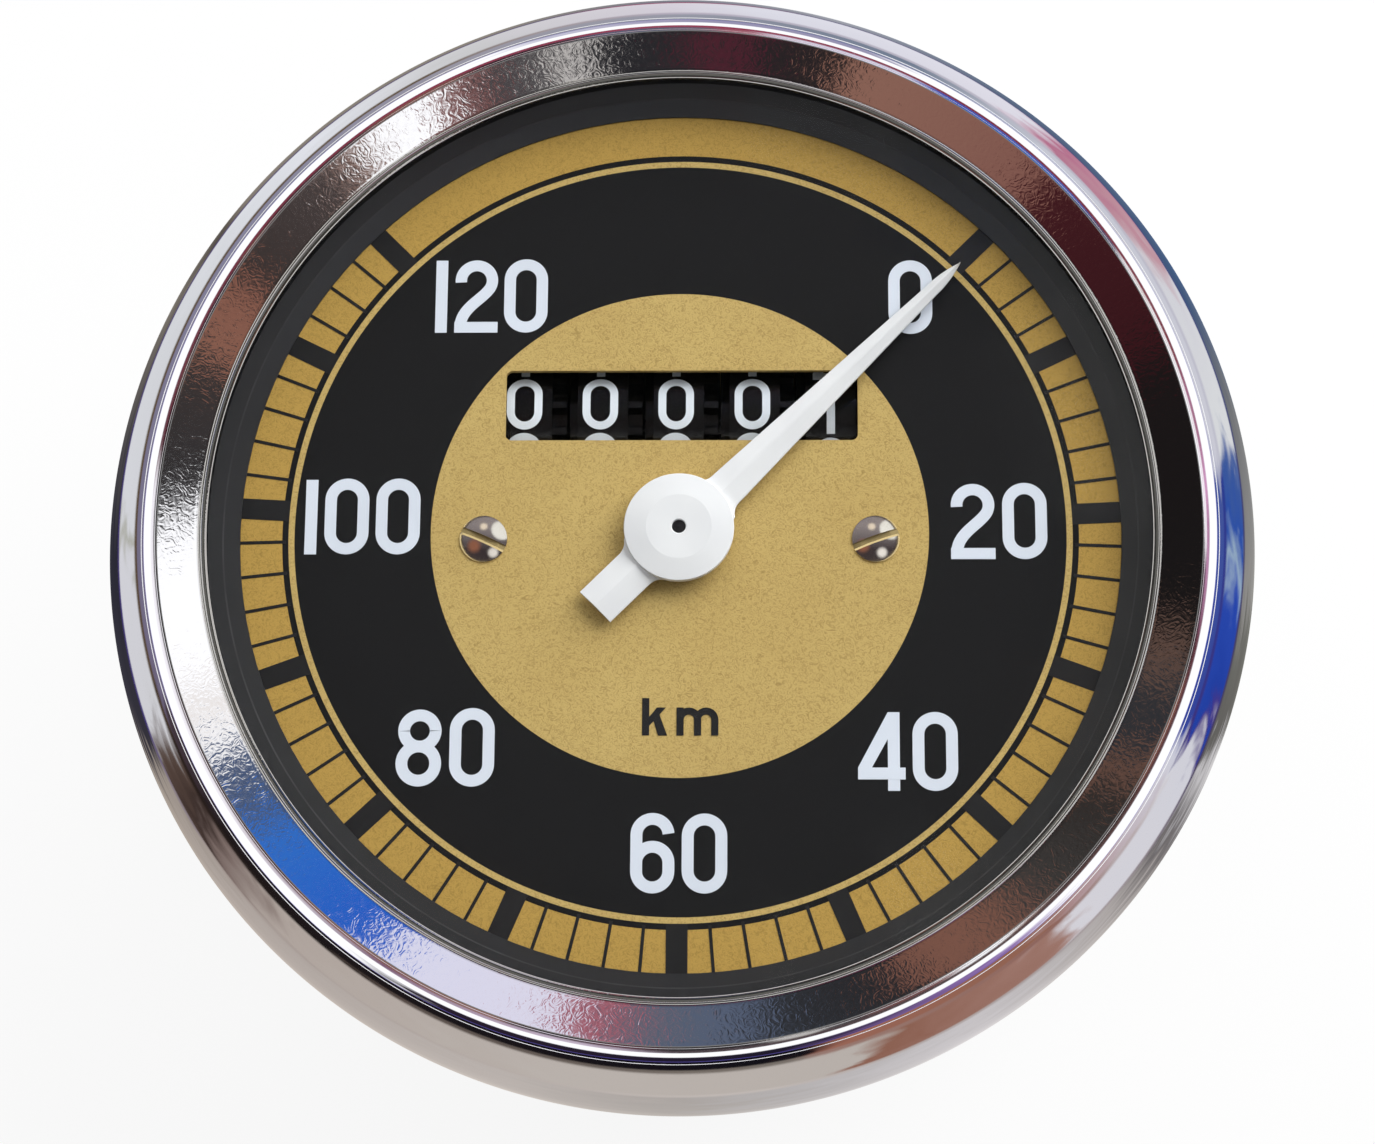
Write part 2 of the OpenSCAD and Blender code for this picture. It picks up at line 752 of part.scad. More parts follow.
// Aluminium cup that the turning magnet drags round
module speed_cup() {
    color([0.8, 0.81, 0.83])
        rotate_extrude()
            polygon([
                [pointer_spindle_d / 2, cup_top_z - cup_wall],
                [cup_r - cup_wall, cup_top_z - cup_wall],
                [cup_r - cup_wall, cup_top_z - cup_h],
                [cup_r, cup_top_z - cup_h],
                [cup_r, cup_top_z],
                [arm_hub_r, cup_top_z],
                [arm_hub_r, arm_z],
                [pointer_spindle_d / 2, arm_z]]);
}

// Disc magnet on the drive spindle, inside the speed cup
module magnet() {
    color([0.35, 0.35, 0.37])
        tube(magnet_r, spindle_neck_r, magnet_z, magnet_top_z);
}

// Drive spindle: journal with the square socket below, collar, and a neck for the worm and the magnet
module drive_spindle() {
    collar_z = washer_top_z + slip_gap;
    color([0.66, 0.66, 0.68])
        difference() {
            union() {
                rod(journal_r, journal_end_z, collar_z);
                rod(collar_r, collar_z, collar_z + collar_h);
                rod(spindle_neck_r, collar_z, magnet_top_z);
                rod(spindle_hub_r, magnet_z - spindle_hub_h, magnet_z);
            }
            translate([-socket_w / 2, -socket_w / 2, journal_end_z - 1])
                cube([socket_w, socket_w, socket_depth + 1]);
            rod(pivot_r + run_gap, magnet_top_z - pivot_depth - pivot_gap, magnet_top_z + 1);
        }
}

// Left-hand worm pressed on the drive spindle
module drive_worm() {
    color([0.72, 0.72, 0.75])
        translate([0, 0, train_level])
            rotate(90)
                worm(worm_r - first_dedendum, worm_r + first_addendum, first_pitch, worm_len, -1,
                    spindle_neck_r + press_gap);
}

// Fibre washer under the spindle's collar
module thrust_washer() {
    color([0.55, 0.3, 0.2])
        tube(washer_r, nipple_bore_r, boss_top_z, washer_top_z);
}

// Soft iron ring round the speed cup, seated on the frame's shelf
module flux_ring() {
    color([0.45, 0.45, 0.47])
        tube(flux_out_r, flux_in_r, flux_z, flux_top_z);
}

// Die-cast frame: base on the case floor, two towers, a shelf for the flux ring and a bearing post
module movement_frame() {
    color([0.62, 0.63, 0.65])
        difference() {
            union() {
                rod(frame_base_r, frame_floor_z, frame_base_z);
                translate([-tower_out_x, -tower_half_y, frame_floor_z])
                    cube([2 * tower_out_x, 2 * tower_half_y, frame_base_t]);
                rod(boss_r, frame_floor_z, boss_top_z);
                for (s = [-1, 1])
                    translate([s * (tower_in_x + tower_t / 2) - tower_t / 2, -tower_half_y, frame_floor_z])
                        cube([tower_t, 2 * tower_half_y, bridge_under_z - frame_floor_z]);
                tube(shelf_out_r, shelf_in_r, flux_z - shelf_t, flux_z);
                tube(flux_out_r + slip_gap + rim_w, flux_out_r + slip_gap, flux_z - shelf_t, flux_z + rim_h);
                translate([upright_x, upright_y, 0]) rod(post_r, frame_floor_z, post_top_z);
            }
            rod(nipple_spigot_r + slip_gap, frame_floor_z - 1, boss_top_z + 1);
            translate([0, cross_y, train_level])
                rod_x(bearing_r, -tower_out_x - 1, tower_out_x + 1);
            translate([upright_x, upright_y, 0]) rod(bearing_r, post_top_z - bush_len, post_top_z + 1);
            for (a = frame_screw_angles)
                rotate(a)
                    translate([frame_screw_ring_r, 0, 0])
                        rod(frame_screw_r + slip_gap, frame_floor_z - 1, frame_floor_z + frame_screw_depth);
            for (sx = [-1, 1], sy = [-1, 1])
                translate([sx * bridge_screw_x, sy * bridge_screw_y, 0])
                    rod(bridge_screw_r + slip_gap, bridge_top_z - screw_len - 0.5, bridge_top_z);
        }
}

// Plate across the towers that carries the pointer's bearing, the dial pillars and the counter
module upper_bridge() {
    color([0.7, 0.7, 0.72])
        translate([0, 0, bridge_under_z])
            linear_extrude(bridge_t)
                difference() {
                    union() {
                        square([2 * tower_out_x, 2 * tower_half_y], center = true);
                        translate([bracket_left_x - foot_w - 0.3, 0])
                            square([bracket_right_x + bracket_t - bracket_left_x + 2 * foot_w + 0.6,
                                bracket_high_y + 0.3]);
                    }
                    circle(bush_r);
                    translate([upright_x, upright_y]) circle(bearing_r);
                    for (sx = [-1, 1], sy = [-1, 1])
                        translate([sx * bridge_screw_x, sy * bridge_screw_y])
                            circle(bridge_screw_r + slip_gap);
                    for (x = foot_screw_x, y = foot_screw_y)
                        translate([x, y]) circle(foot_screw_r + slip_gap);
                }
}

// Four screws that hold the bridge on the towers
module bridge_screws() {
    color([0.72, 0.72, 0.74])
        for (sx = [-1, 1], sy = [-1, 1])
            translate([sx * bridge_screw_x, sy * bridge_screw_y, bridge_top_z])
                slotted_screw(bridge_screw_head_r, bridge_screw_head_h, bridge_screw_r, screw_len,
                    bridge_screw_slot * sx * sy);
}

// Brass bush in the bridge for the pointer spindle
module bridge_bush() {
    color([0.8, 0.65, 0.3]) {
        tube(bush_r, pointer_spindle_d / 2 + run_gap, bridge_under_z - lever_t + 0.05, bridge_top_z);
        tube(bush_flange_r, pointer_spindle_d / 2 + run_gap, bridge_top_z, bridge_top_z + bush_flange_t);
    }
}

// Worm wheel on the cross shaft, driven by the drive worm
module worm_wheel() {
    color([0.85, 0.7, 0.35])
        translate([0, cross_y, train_level])
            rotate([90, 0, 90])
                rotate(180 / first_teeth)
                    toothed_wheel(first_teeth, first_r, first_addendum, first_dedendum, wheel_w,
                        shaft_r, shaft_r + hub_wall, wheel_w + hub_over);
}

// Shaft across the frame, from tower to tower
module cross_shaft() {
    color([0.66, 0.66, 0.68])
        translate([0, cross_y, train_level]) rod_x(shaft_r, -cross_end, cross_end);
}

// Right-hand worm on the cross shaft
module cross_worm() {
    color([0.72, 0.72, 0.75])
        translate([upright_x, cross_y, train_level])
            rotate([90, 0, 90])
                worm(worm_r - first_dedendum, worm_r + first_addendum, first_pitch, worm_len, 1,
                    shaft_r + press_gap);
}

// Two blind bushes pressed into the towers from outside
module cross_shaft_bushes() {
    color([0.8, 0.65, 0.3])
        for (s = [0, 1])
            mirror([s, 0, 0])
                translate([0, cross_y, train_level])
                    difference() {
                        union() {
                            rod_x(bearing_r, tower_in_x, tower_out_x);
                            rod_x(bearing_r + 0.9, tower_out_x, tower_out_x + 0.6);
                        }
                        rod_x(shaft_r + run_gap, tower_in_x - 1, cross_end + 0.1);
                    }
}

// Worm wheel at the foot of the upright shaft, driven by the cross worm
module second_worm_wheel() {
    color([0.85, 0.7, 0.35])
        translate([upright_x, upright_y, train_level])
            rotate(180 / first_teeth)
                toothed_wheel(first_teeth, first_r, first_addendum, first_dedendum, wheel_w, shaft_r,
                    shaft_r + hub_wall, wheel_w + hub_over);
}

// Upright shaft with a thin neck for the worm at its top
module upright_shaft() {
    neck_z = axle_z - odo_worm_len / 2 - 0.3;
    color([0.66, 0.66, 0.68])
        translate([upright_x, upright_y, 0]) {
            rod(shaft_r, post_top_z - bush_len + 1, neck_z);
            rod(upright_neck_r, neck_z, neck_z + odo_worm_len + 0.6);
        }
}

// Right-hand worm at the top of the upright shaft
module upright_worm() {
    color([0.72, 0.72, 0.75])
        translate([upright_x, upright_y, axle_z])
            rotate(-90)
                worm(odo_worm_r - odo_dedendum, odo_worm_r + odo_addendum, odo_pitch, odo_worm_len, 1,
                    upright_neck_r + press_gap);
}

// Bushes of the upright shaft: a blind one in the frame's post and an open one in the bridge
module upright_shaft_bushes() {
    color([0.8, 0.65, 0.3])
        translate([upright_x, upright_y, 0]) {
            difference() {
                rod(bearing_r, post_top_z - bush_len, post_top_z + 0.3);
                rod(shaft_r + run_gap, post_top_z - bush_len + 0.9, post_top_z + 1);
            }
            tube(bearing_r, shaft_r + run_gap, bridge_under_z, bridge_top_z);
            tube(bearing_r + 0.6, shaft_r + run_gap, bridge_under_z - 0.5, bridge_under_z);
        }
}

// Gear on the hub of the units wheel, driven by the upright worm
module odometer_gear() {
    color([0.9, 0.9, 0.86])
        translate([0, axle_y, axle_z])
            difference() {
                union() {
                    translate([upright_x, 0, 0])
                        rotate([90, 0, 90])
                            rotate(180 / odo_teeth)
                                toothed_wheel(odo_teeth, odo_r, odo_addendum, odo_dedendum, odo_gear_w,
                                    axle_r + run_gap, axle_r + 1, odo_gear_w);
                    rod_x(axle_r + 1, ring_end_x, odo_gear_x + odo_gear_w / 2);
                }
                rod_x(axle_r + run_gap, ring_end_x - 1, odo_gear_x + odo_gear_w + 1);
            }
}

// Number wheel: figure band, toothed ring on its right and, but for the leftmost, a transfer disc
module number_wheel(i) {
    turn = pinion_turn + (i == wheel_count ? units_finger_turn : finger_turn);
    color([0.12, 0.12, 0.13])
        translate([wheel_x[i - 1], axle_y, axle_z])
            difference() {
                union() {
                    rod_x(drum_r, -drum_w / 2, drum_w / 2);
                    translate([ring_x, 0, 0])
                        rotate([90, 0, 90])
                            linear_extrude(ring_w)
                                rotate(pinion_turn + 180 / ring_teeth)
                                    polygon(tooth_points(ring_teeth, ring_root_r, ring_tip_r, ring_tooth_root,
                                        ring_tooth_tip));
                    if (i > 1) {
                        rod_x(disc_r, disc_x, -drum_w / 2);
                        translate([disc_x, 0, 0])
                            rotate([90, 0, 90])
                                linear_extrude(transfer_w)
                                    for (a = [-finger_spread, finger_spread])
                                        rotate(turn + a)
                                            translate([disc_r - 0.5, -finger_w / 2])
                                                square([ring_tip_r - disc_r + 0.5, finger_w]);
                    }
                }
                rod_x(axle_r + run_gap, disc_x - 1, ring_x + ring_w + 1);
            }
}

module number_wheel_1() {
    number_wheel(1);
}

module number_wheel_2() {
    number_wheel(2);
}

module number_wheel_3() {
    number_wheel(3);
}

module number_wheel_4() {
    number_wheel(4);
}

module number_wheel_5() {
    number_wheel(5);
}

// Outline of a transfer pinion, with a tooth that points at the number wheels
module pinion_outline(teeth) {
    rotate(pinion_turn + 180)
        polygon(tooth_points(teeth, pinion_root_r, pinion_tip_r, pinion_tooth_root, pinion_tooth_tip));
}

// Transfer pinion between wheel i and wheel i + 1: eight teeth beside the ring, four beside the disc
module transfer_pinion(i) {
    color([0.9, 0.88, 0.8])
        translate([wheel_x[i - 1] + ring_x + slip_gap, pinion_y, pinion_z])
            rotate([90, 0, 90])
                difference() {
                    union() {
                        linear_extrude(ring_w) pinion_outline(pinion_teeth);
                        linear_extrude(pinion_w) pinion_outline(pinion_teeth / 2);
                    }
                    rod(pinion_shaft_r + run_gap, -1, pinion_w + 1);
                }
}

module transfer_pinion_1() {
    transfer_pinion(1);
}

module transfer_pinion_2() {
    transfer_pinion(2);
}

module transfer_pinion_3() {
    transfer_pinion(3);
}

module transfer_pinion_4() {
    transfer_pinion(4);
}

// Steel axle that the number wheels turn on, held in both brackets
module wheel_axle() {
    color([0.66, 0.66, 0.68])
        translate([0, axle_y, axle_z])
            rod_x(axle_r, bracket_left_x - axle_over, bracket_right_x + bracket_t + axle_over);
}

// Steel shaft that the transfer pinions turn on, held in both brackets
module pinion_shaft() {
    color([0.66, 0.66, 0.68])
        translate([0, pinion_y, pinion_z])
            rod_x(pinion_shaft_r, bracket_left_x - axle_over, bracket_right_x + bracket_t + axle_over);
}

// Side bracket of the counter, with its foot on the bridge. side is -1 for the left one
module counter_bracket(x, side) {
    foot_x = side < 0 ? x - foot_w : x;
    color([0.7, 0.7, 0.72])
        difference() {
            union() {
                translate([x, 0, 0])
                    rotate([90, 0, 90])
                        linear_extrude(bracket_t)
                            polygon([
                                [bracket_low_y, bridge_top_z],
                                [bracket_high_y, bridge_top_z],
                                [bracket_high_y, pinion_z + 1.6],
                                [axle_y + 2.6, bracket_top_z],
                                [axle_y - 2.6, bracket_top_z],
                                [bracket_low_y, axle_z - 2]]);
                translate([foot_x, bracket_low_y, bridge_top_z])
                    cube([foot_w + bracket_t, bracket_high_y - bracket_low_y, bracket_t]);
            }
            translate([0, axle_y, axle_z]) rod_x(axle_r, x - 1, x + bracket_t + 1);
            translate([0, pinion_y, pinion_z]) rod_x(pinion_shaft_r, x - 1, x + bracket_t + 1);
            for (fx = foot_screw_x, fy = foot_screw_y)
                translate([fx, fy, bridge_top_z]) rod(foot_screw_r + slip_gap, -1, bracket_t + 1);
        }
}

module bracket_left() {
    counter_bracket(bracket_left_x, -1);
}

module bracket_right() {
    counter_bracket(bracket_right_x, 1);
}

// Four small screws through the feet of the brackets
module bracket_screws() {
    color([0.72, 0.72, 0.74])
        for (x = foot_screw_x, y = foot_screw_y)
            translate([x, y, bridge_top_z + bracket_t])
                slotted_screw(foot_screw_head_r, foot_screw_head_h, foot_screw_r, bracket_t + bridge_t,
                    x + 4 * y);
}

// Deep-drawn case with a flange at its mouth, a shoulder above the panel and holes in its floor
module case() {
    corner_in_r = case_corner_r - case_wall;
    out_centre = [case_r - case_corner_r, case_corner_r - case_depth];
    in_centre = [case_in_r - corner_in_r, case_floor_z + corner_in_r];
    color([0.2, 0.2, 0.21])
        difference() {
            rotate_extrude()
                polygon(concat(
                    [[0, case_floor_z], [0, -case_depth]],
                    arc_points(out_centre, case_corner_r, 270, 360, 8),
                    [[case_r, 0], [case_r + shoulder_w, shoulder_w], [case_r + shoulder_w, crimp_z]],
                    [[flange_r, crimp_z], [flange_r, flange_z], [case_in_r, flange_z]],
                    arc_points(in_centre, corner_in_r, 360, 270, 8)));
            rod(nipple_spigot_r + slip_gap, -case_depth - 1, case_floor_z + 1);
            for (a = frame_screw_angles)
                rotate(a)
                    translate([frame_screw_ring_r, 0, 0])
                        rod(frame_screw_r + slip_gap, -case_depth - 1, case_floor_z + 1);
            translate([0, -lamp_y, 0]) rod(lamp_r + slip_gap, -case_depth - 1, case_floor_z + 1);
        }
}

// Rubber ring that seals the bezel to the panel
module seal_ring() {
    color([0.08, 0.08, 0.08])
        tube(bezel_r - seal_rim, seal_in_r, 0, seal_t);
}

// Nipple on the back: a thread for the cable's nut, a hexagon and a spigot in the frame's boss
module cable_nipple() {
    color([0.75, 0.75, 0.76])
        difference() {
            union() {
                rod(nipple_d / 2, nipple_end_z, -case_depth - nipple_flange_t);
                translate([0, 0, -case_depth - nipple_flange_t])
                    cylinder(r = nipple_flange_r, h = nipple_flange_t, $fn = 6);
                rod(nipple_spigot_r, -case_depth, boss_top_z);
            }
            rod(nipple_bore_r, nipple_end_z - 1, boss_top_z + 1);
        }
}

// Three screws through the case floor into the frame
module frame_screws() {
    color([0.75, 0.74, 0.7])
        for (a = frame_screw_angles)
            rotate(a)
                translate([frame_screw_ring_r, 0, -case_depth])
                    rotate([180, 0, 0])
                        slotted_screw(frame_screw_head_r, frame_screw_head_h, frame_screw_r,
                            case_wall + frame_screw_depth, a);
}

// Two studs welded on the back of the case
module mounting_studs() {
    color([0.7, 0.7, 0.7])
        for (s = [-1, 1])
            translate([s * stud_x, 0, 0]) {
                rod(stud_pad_r, -case_depth - stud_pad_t, -case_depth);
                rod(stud_d / 2, -case_depth - stud_pad_t - stud_len, -case_depth - stud_pad_t);
            }
}

// Push-in lamp holder in the case floor
module lamp_holder() {
    color([0.75, 0.65, 0.4])
        translate([0, -lamp_y, -case_depth])
            difference() {
                union() {
                    rod(lamp_r, -lamp_tail, lamp_depth);
                    rod(lamp_flange_r, -lamp_flange_t, 0);
                }
                rod(lamp_r - lamp_wall, lamp_floor_t - lamp_tail, lamp_depth + 1);
            }
}

// Small bulb standing in the holder: brass base, neck and round glass
module lamp_bulb() {
    glass_r = bulb_r * 0.95;
    neck_rise = asin(0.8 * bulb_r / glass_r);
    glass_z = lamp_depth + bulb_neck + glass_r * cos(neck_rise);
    color([0.9, 0.92, 0.85, 0.6])
        translate([0, -lamp_y, -case_depth])
            rotate_extrude()
                polygon(concat(
                    [[0, lamp_floor_t - lamp_tail], [bulb_r, lamp_floor_t - lamp_tail], [bulb_r, lamp_depth]],
                    [[0.8 * bulb_r, lamp_depth]],
                    arc_points([0, glass_z], glass_r, neck_rise - 90, 90, 12)));
}

bezel_ring();
glass();
glass_gasket();
spacer_ring();
dial();
dial_screws();
dial_pillars();
pointer();
pointer_cap();
pointer_spindle();
spring_collet();
hairspring();
regulator_lever();
stop_arm();
stop_pins();
speed_cup();
magnet();
drive_spindle();
drive_worm();
thrust_washer();
flux_ring();
movement_frame();
upper_bridge();
bridge_screws();
bridge_bush();
worm_wheel();
cross_shaft();
cross_worm();
cross_shaft_bushes();
second_worm_wheel();
upright_shaft();
upright_worm();
upright_shaft_bushes();
odometer_gear();
number_wheel_1();
number_wheel_2();
number_wheel_3();
number_wheel_4();
number_wheel_5();
transfer_pinion_1();
transfer_pinion_2();
transfer_pinion_3();
transfer_pinion_4();
wheel_axle();
pinion_shaft();
bracket_left();
bracket_right();
bracket_screws();
case();
seal_ring();
cable_nipple();
frame_screws();
mounting_studs();
lamp_holder();
lamp_bulb();
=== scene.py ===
# %% [markdown]
# # Speedometer in a chrome bezel
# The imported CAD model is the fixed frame. This lesson dresses it: chrome, glass, dial print,
# number wheels and back. Lengths are read from the CAD nodes where a node has them, and are
# otherwise written in millimetres and turned into Blender's metres when a mesh is made.

# %% Load the frame
import json
import math

import bmesh
import bpy
import numpy as np
from mathutils import Matrix, Vector


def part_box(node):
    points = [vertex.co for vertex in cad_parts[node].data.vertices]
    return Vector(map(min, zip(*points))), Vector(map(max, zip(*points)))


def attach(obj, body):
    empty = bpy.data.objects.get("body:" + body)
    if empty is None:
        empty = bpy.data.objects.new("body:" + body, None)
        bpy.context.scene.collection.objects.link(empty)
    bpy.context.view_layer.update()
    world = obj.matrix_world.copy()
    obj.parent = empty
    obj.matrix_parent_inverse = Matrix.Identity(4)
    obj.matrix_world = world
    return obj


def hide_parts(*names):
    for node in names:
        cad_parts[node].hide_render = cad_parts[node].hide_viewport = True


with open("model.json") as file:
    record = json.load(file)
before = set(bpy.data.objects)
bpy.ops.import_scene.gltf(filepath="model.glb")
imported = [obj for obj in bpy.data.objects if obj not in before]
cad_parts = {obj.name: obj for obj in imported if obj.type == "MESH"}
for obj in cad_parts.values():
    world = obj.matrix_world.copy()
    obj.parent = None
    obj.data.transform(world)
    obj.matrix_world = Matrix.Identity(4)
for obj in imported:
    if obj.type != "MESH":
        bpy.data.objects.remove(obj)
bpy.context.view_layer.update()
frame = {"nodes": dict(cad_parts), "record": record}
MM = 0.001


def low(node):
    """Lowest corner of a CAD node, in millimetres."""
    return np.array(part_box(node)[0]) / MM


def high(node):
    """Highest corner of a CAD node, in millimetres."""
    return np.array(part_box(node)[1]) / MM


dial_z = high("dial")[2]
bezel_r = high("bezel_ring")[0]
glass_z = high("glass")[2]
floor_z = low("cable_nipple")[2]
print("dial at", round(dial_z, 3), "bezel radius", round(bezel_r, 3), "glass top", round(glass_z, 3))

# %% [markdown]
# ## Camera
# The photograph looks almost straight at the dial, from a little below and to the right of its
# axis. The long lens keeps the round dial nearly round. The camera is placed once, from the
# measured tilt and distance, with its three axes written as the columns of its matrix.

# %% Camera
camera_at = Vector((6.44, -55.45, 226.08)) * MM
camera_right = Vector((0.9997, 0.0058, -0.0247))
camera_up = Vector((0.0, 0.9735, 0.2287))
camera_back = camera_right.cross(camera_up).normalized()
camera_up = camera_back.cross(camera_right).normalized()
turn = Matrix((camera_right, camera_up, camera_back)).transposed().to_4x4()
lens = bpy.data.cameras.new("camera")
lens.lens = 78.5
lens.sensor_width = 36
lens.clip_start = 0.01
camera = bpy.data.objects.new("camera", lens)
camera.matrix_world = Matrix.Translation(camera_at) @ turn
bpy.context.scene.collection.objects.link(camera)
bpy.context.scene.camera = camera
print("camera at", [round(c, 4) for c in camera_at])

# %% [markdown]
# ## Helpers for meshes
# Every new piece is a grid of points worked out with numpy. One function turns a grid into a
# mesh and closes it where its two directions run round; a lathe turns an outline about the
# instrument's axis; a stroke carries a flat rectangle along a line, as print on the dial.

# %% Grid, lathe and stroke


def grid_faces(rows, cols, close_rows, close_cols, start=0):
    """Quads that join neighbouring points of a rows by cols grid, round the end where it closes."""
    i = np.arange(rows if close_rows else rows - 1)
    j = np.arange(cols if close_cols else cols - 1)
    a, b = [k.ravel() for k in np.meshgrid(i, j, indexing="ij")]
    next_a = (a + 1) % rows
    next_b = (b + 1) % cols
    quads = np.stack([a * cols + b, a * cols + next_b, next_a * cols + next_b, next_a * cols + b], 1)
    return (quads + start).tolist()


def add_mesh(name, points, faces, sharp=35):
    """A mesh object from points in millimetres. Doubles are merged and the faces point outwards."""
    mesh = bpy.data.meshes.new(name)
    mesh.from_pydata((np.asarray(points, float).reshape(-1, 3) * MM).tolist(), [], faces)
    work = bmesh.new()
    work.from_mesh(mesh)
    bmesh.ops.remove_doubles(work, verts=work.verts, dist=1e-7)
    bmesh.ops.dissolve_degenerate(work, edges=work.edges, dist=1e-8)
    bmesh.ops.recalc_face_normals(work, faces=work.faces)
    work.to_mesh(mesh)
    work.free()
    mesh.shade_smooth()
    mesh.set_sharp_from_angle(angle=math.radians(sharp))
    piece = bpy.data.objects.new(name, mesh)
    bpy.context.scene.collection.objects.link(piece)
    return piece


def arc(centre, radius, start, end, steps):
    """Points of an arc: centre + radius * (cos, sin) of an angle that goes from start to end."""
    a = np.radians(np.linspace(start, end, steps + 1))
    return np.array(centre) + radius * np.stack([np.cos(a), np.sin(a)], 1)


def bend(a, b, c, d, steps=12):
    """Points of the cubic curve from a to d that leaves towards b and arrives from c."""
    t = np.linspace(0, 1, steps + 1)[:, None]
    a, b, c, d = [np.array(p, float) for p in (a, b, c, d)]
    return (1 - t) ** 3 * a + 3 * (1 - t) ** 2 * t * b + 3 * (1 - t) * t ** 2 * c + t ** 3 * d


def lathe(name, outline, steps=360, closed=True, sharp=35):
    """Turns an outline of (radius, height) about Z: (r cos a, r sin a, h) on a grid of angle and
    outline point."""
    outline = np.asarray(outline, float)
    a = np.linspace(0, 2 * np.pi, steps, endpoint=False)[:, None]
    r = outline[None, :, 0]
    z = np.broadcast_to(outline[:, 1], (steps, len(outline)))
    points = np.stack([r * np.cos(a), r * np.sin(a), z], 2)
    return add_mesh(name, points, grid_faces(steps, len(outline), True, closed), sharp)


def dress(piece, body, slot, material, *replaced):
    """Gives a new piece its material and its body, and hides the CAD nodes that it stands for. Its slot
    is not used.
    """
    piece.data.materials.clear()
    piece.data.materials.append(material)
    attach(piece, body)
    if replaced:
        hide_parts(*replaced)
    print(piece.name, len(piece.data.polygons), "faces")


# %% [markdown]
# ## Helpers for materials
# A finish is a Principled shader with a little procedural noise in its roughness and its bump.
# The noise reads Object coordinates, so it stays on the piece when the pointer or a wheel turns.

# %% Materials


def linear(colour):
    """A colour written as 0-255 display values, turned into the linear values that Blender uses."""
    c = np.array(colour, float) / 255
    return (*np.where(c <= 0.04045, c / 12.92, ((c + 0.055) / 1.055) ** 2.4).tolist(), 1.0)


class Finish:
    """A node material with short calls to add nodes and link them."""

    def __init__(self, name, colour, roughness, metallic=0.0):
        self.material = bpy.data.materials.new(name)
        self.material.use_nodes = True
        self.tree = self.material.node_tree
        self.shader = self.tree.nodes["Principled BSDF"]
        self.shader.inputs["Base Color"].default_value = linear(colour)
        self.shader.inputs["Roughness"].default_value = roughness
        self.shader.inputs["Metallic"].default_value = metallic
        self.surface = self.tree.nodes["Material Output"].inputs["Surface"]
        self.place = self.node("ShaderNodeTexCoord").outputs["Object"]

    def node(self, kind, **values):
        made = self.tree.nodes.new(kind)
        for key, value in values.items():
            setattr(made, key, value)
        return made

    def put(self, value, socket):
        if isinstance(value, bpy.types.NodeSocket):
            self.tree.links.new(value, socket)
        else:
            socket.default_value = value

    def maths(self, operation, a, b=0.0, c=0.0):
        made = self.node("ShaderNodeMath", operation=operation)
        self.put(a, made.inputs[0])
        self.put(b, made.inputs[1])
        self.put(c, made.inputs[2])
        return made.outputs[0]

    def vectors(self, operation, a, b=(0, 0, 0)):
        made = self.node("ShaderNodeVectorMath", operation=operation)
        self.put(a, made.inputs[0])
        self.put(b, made.inputs[1])
        return made.outputs["Value" if operation in ("LENGTH", "DOT_PRODUCT") else "Vector"]

    def from_axis(self):
        """Distance from the instrument's axis, in metres."""
        return self.vectors("LENGTH", self.vectors("MULTIPLY", self.place, (1, 1, 0)))

    def mirror_lean(self):
        """The way a mirror faces that shows this point of a far tent to the camera: halfway between
        the direction of the point and that of the camera."""
        way = self.vectors("NORMALIZE", self.place)
        return self.vectors("NORMALIZE", self.vectors("ADD", way, camera_at.normalized()))

    def noise(self, size_mm, detail=3.0, stretch=(1, 1, 1), distortion=0.0):
        """Noise whose bumps are about size_mm across, drawn out along an axis by stretch."""
        mapping = self.node("ShaderNodeMapping")
        mapping.inputs["Scale"].default_value = [1 / s for s in stretch]
        self.put(self.place, mapping.inputs["Vector"])
        made = self.node("ShaderNodeTexNoise")
        made.inputs["Scale"].default_value = 1 / (size_mm * MM)
        made.inputs["Detail"].default_value = detail
        made.inputs["Distortion"].default_value = distortion
        self.put(mapping.outputs[0], made.inputs["Vector"])
        return made.outputs["Fac"]

    def spread(self, value, low_value, high_value, from_low=0.3, from_high=0.7):
        """Maps a noise value to the range from low_value to high_value."""
        made = self.node("ShaderNodeMapRange")
        for socket, given in zip(made.inputs, (value, from_low, from_high, low_value, high_value)):
            self.put(given, socket)
        return made.outputs[0]

    def mix(self, share, a, b):
        """Colour a where share is 0, colour b where it is 1."""
        made = self.node("ShaderNodeMix", data_type="RGBA")
        self.put(share, made.inputs[0])
        self.put(a, made.inputs[6])
        self.put(b, made.inputs[7])
        return made.outputs[2]

    def blend(self, share, a, b):
        """Shader a where share is 0, shader b where it is 1."""
        made = self.node("ShaderNodeMixShader")
        for socket, given in zip(made.inputs, (share, a, b)):
            self.put(given, socket)
        return made.outputs[0]

    def bump(self, height, depth_mm):
        """Raises the surface by height times depth_mm, in shading only."""
        made = self.node("ShaderNodeBump")
        made.inputs["Distance"].default_value = depth_mm * MM
        self.put(height, made.inputs["Height"])
        self.put(made.outputs[0], self.shader.inputs["Normal"])

    def set(self, socket, value):
        self.put(value, self.shader.inputs[socket])


def worked_metal(name, colour, roughness, grain_mm=0.6, stretch=(1, 1, 1), depth_mm=0.01,
                 tone=0.12):
    """Bare or plated metal: a fine grain in its roughness and height, and a slight change of tone."""
    f = Finish(name, colour, roughness, 1.0)
    grain = f.noise(grain_mm, 4, stretch)
    cloud = f.noise(6, 3)
    darker = tuple(c * (1 - tone) for c in colour)
    f.set("Base Color", f.mix(f.spread(cloud, 0, 1), linear(colour), linear(darker)))
    f.set("Roughness", f.spread(grain, roughness * 0.75, roughness * 1.25))
    f.bump(grain, depth_mm)
    return f.material


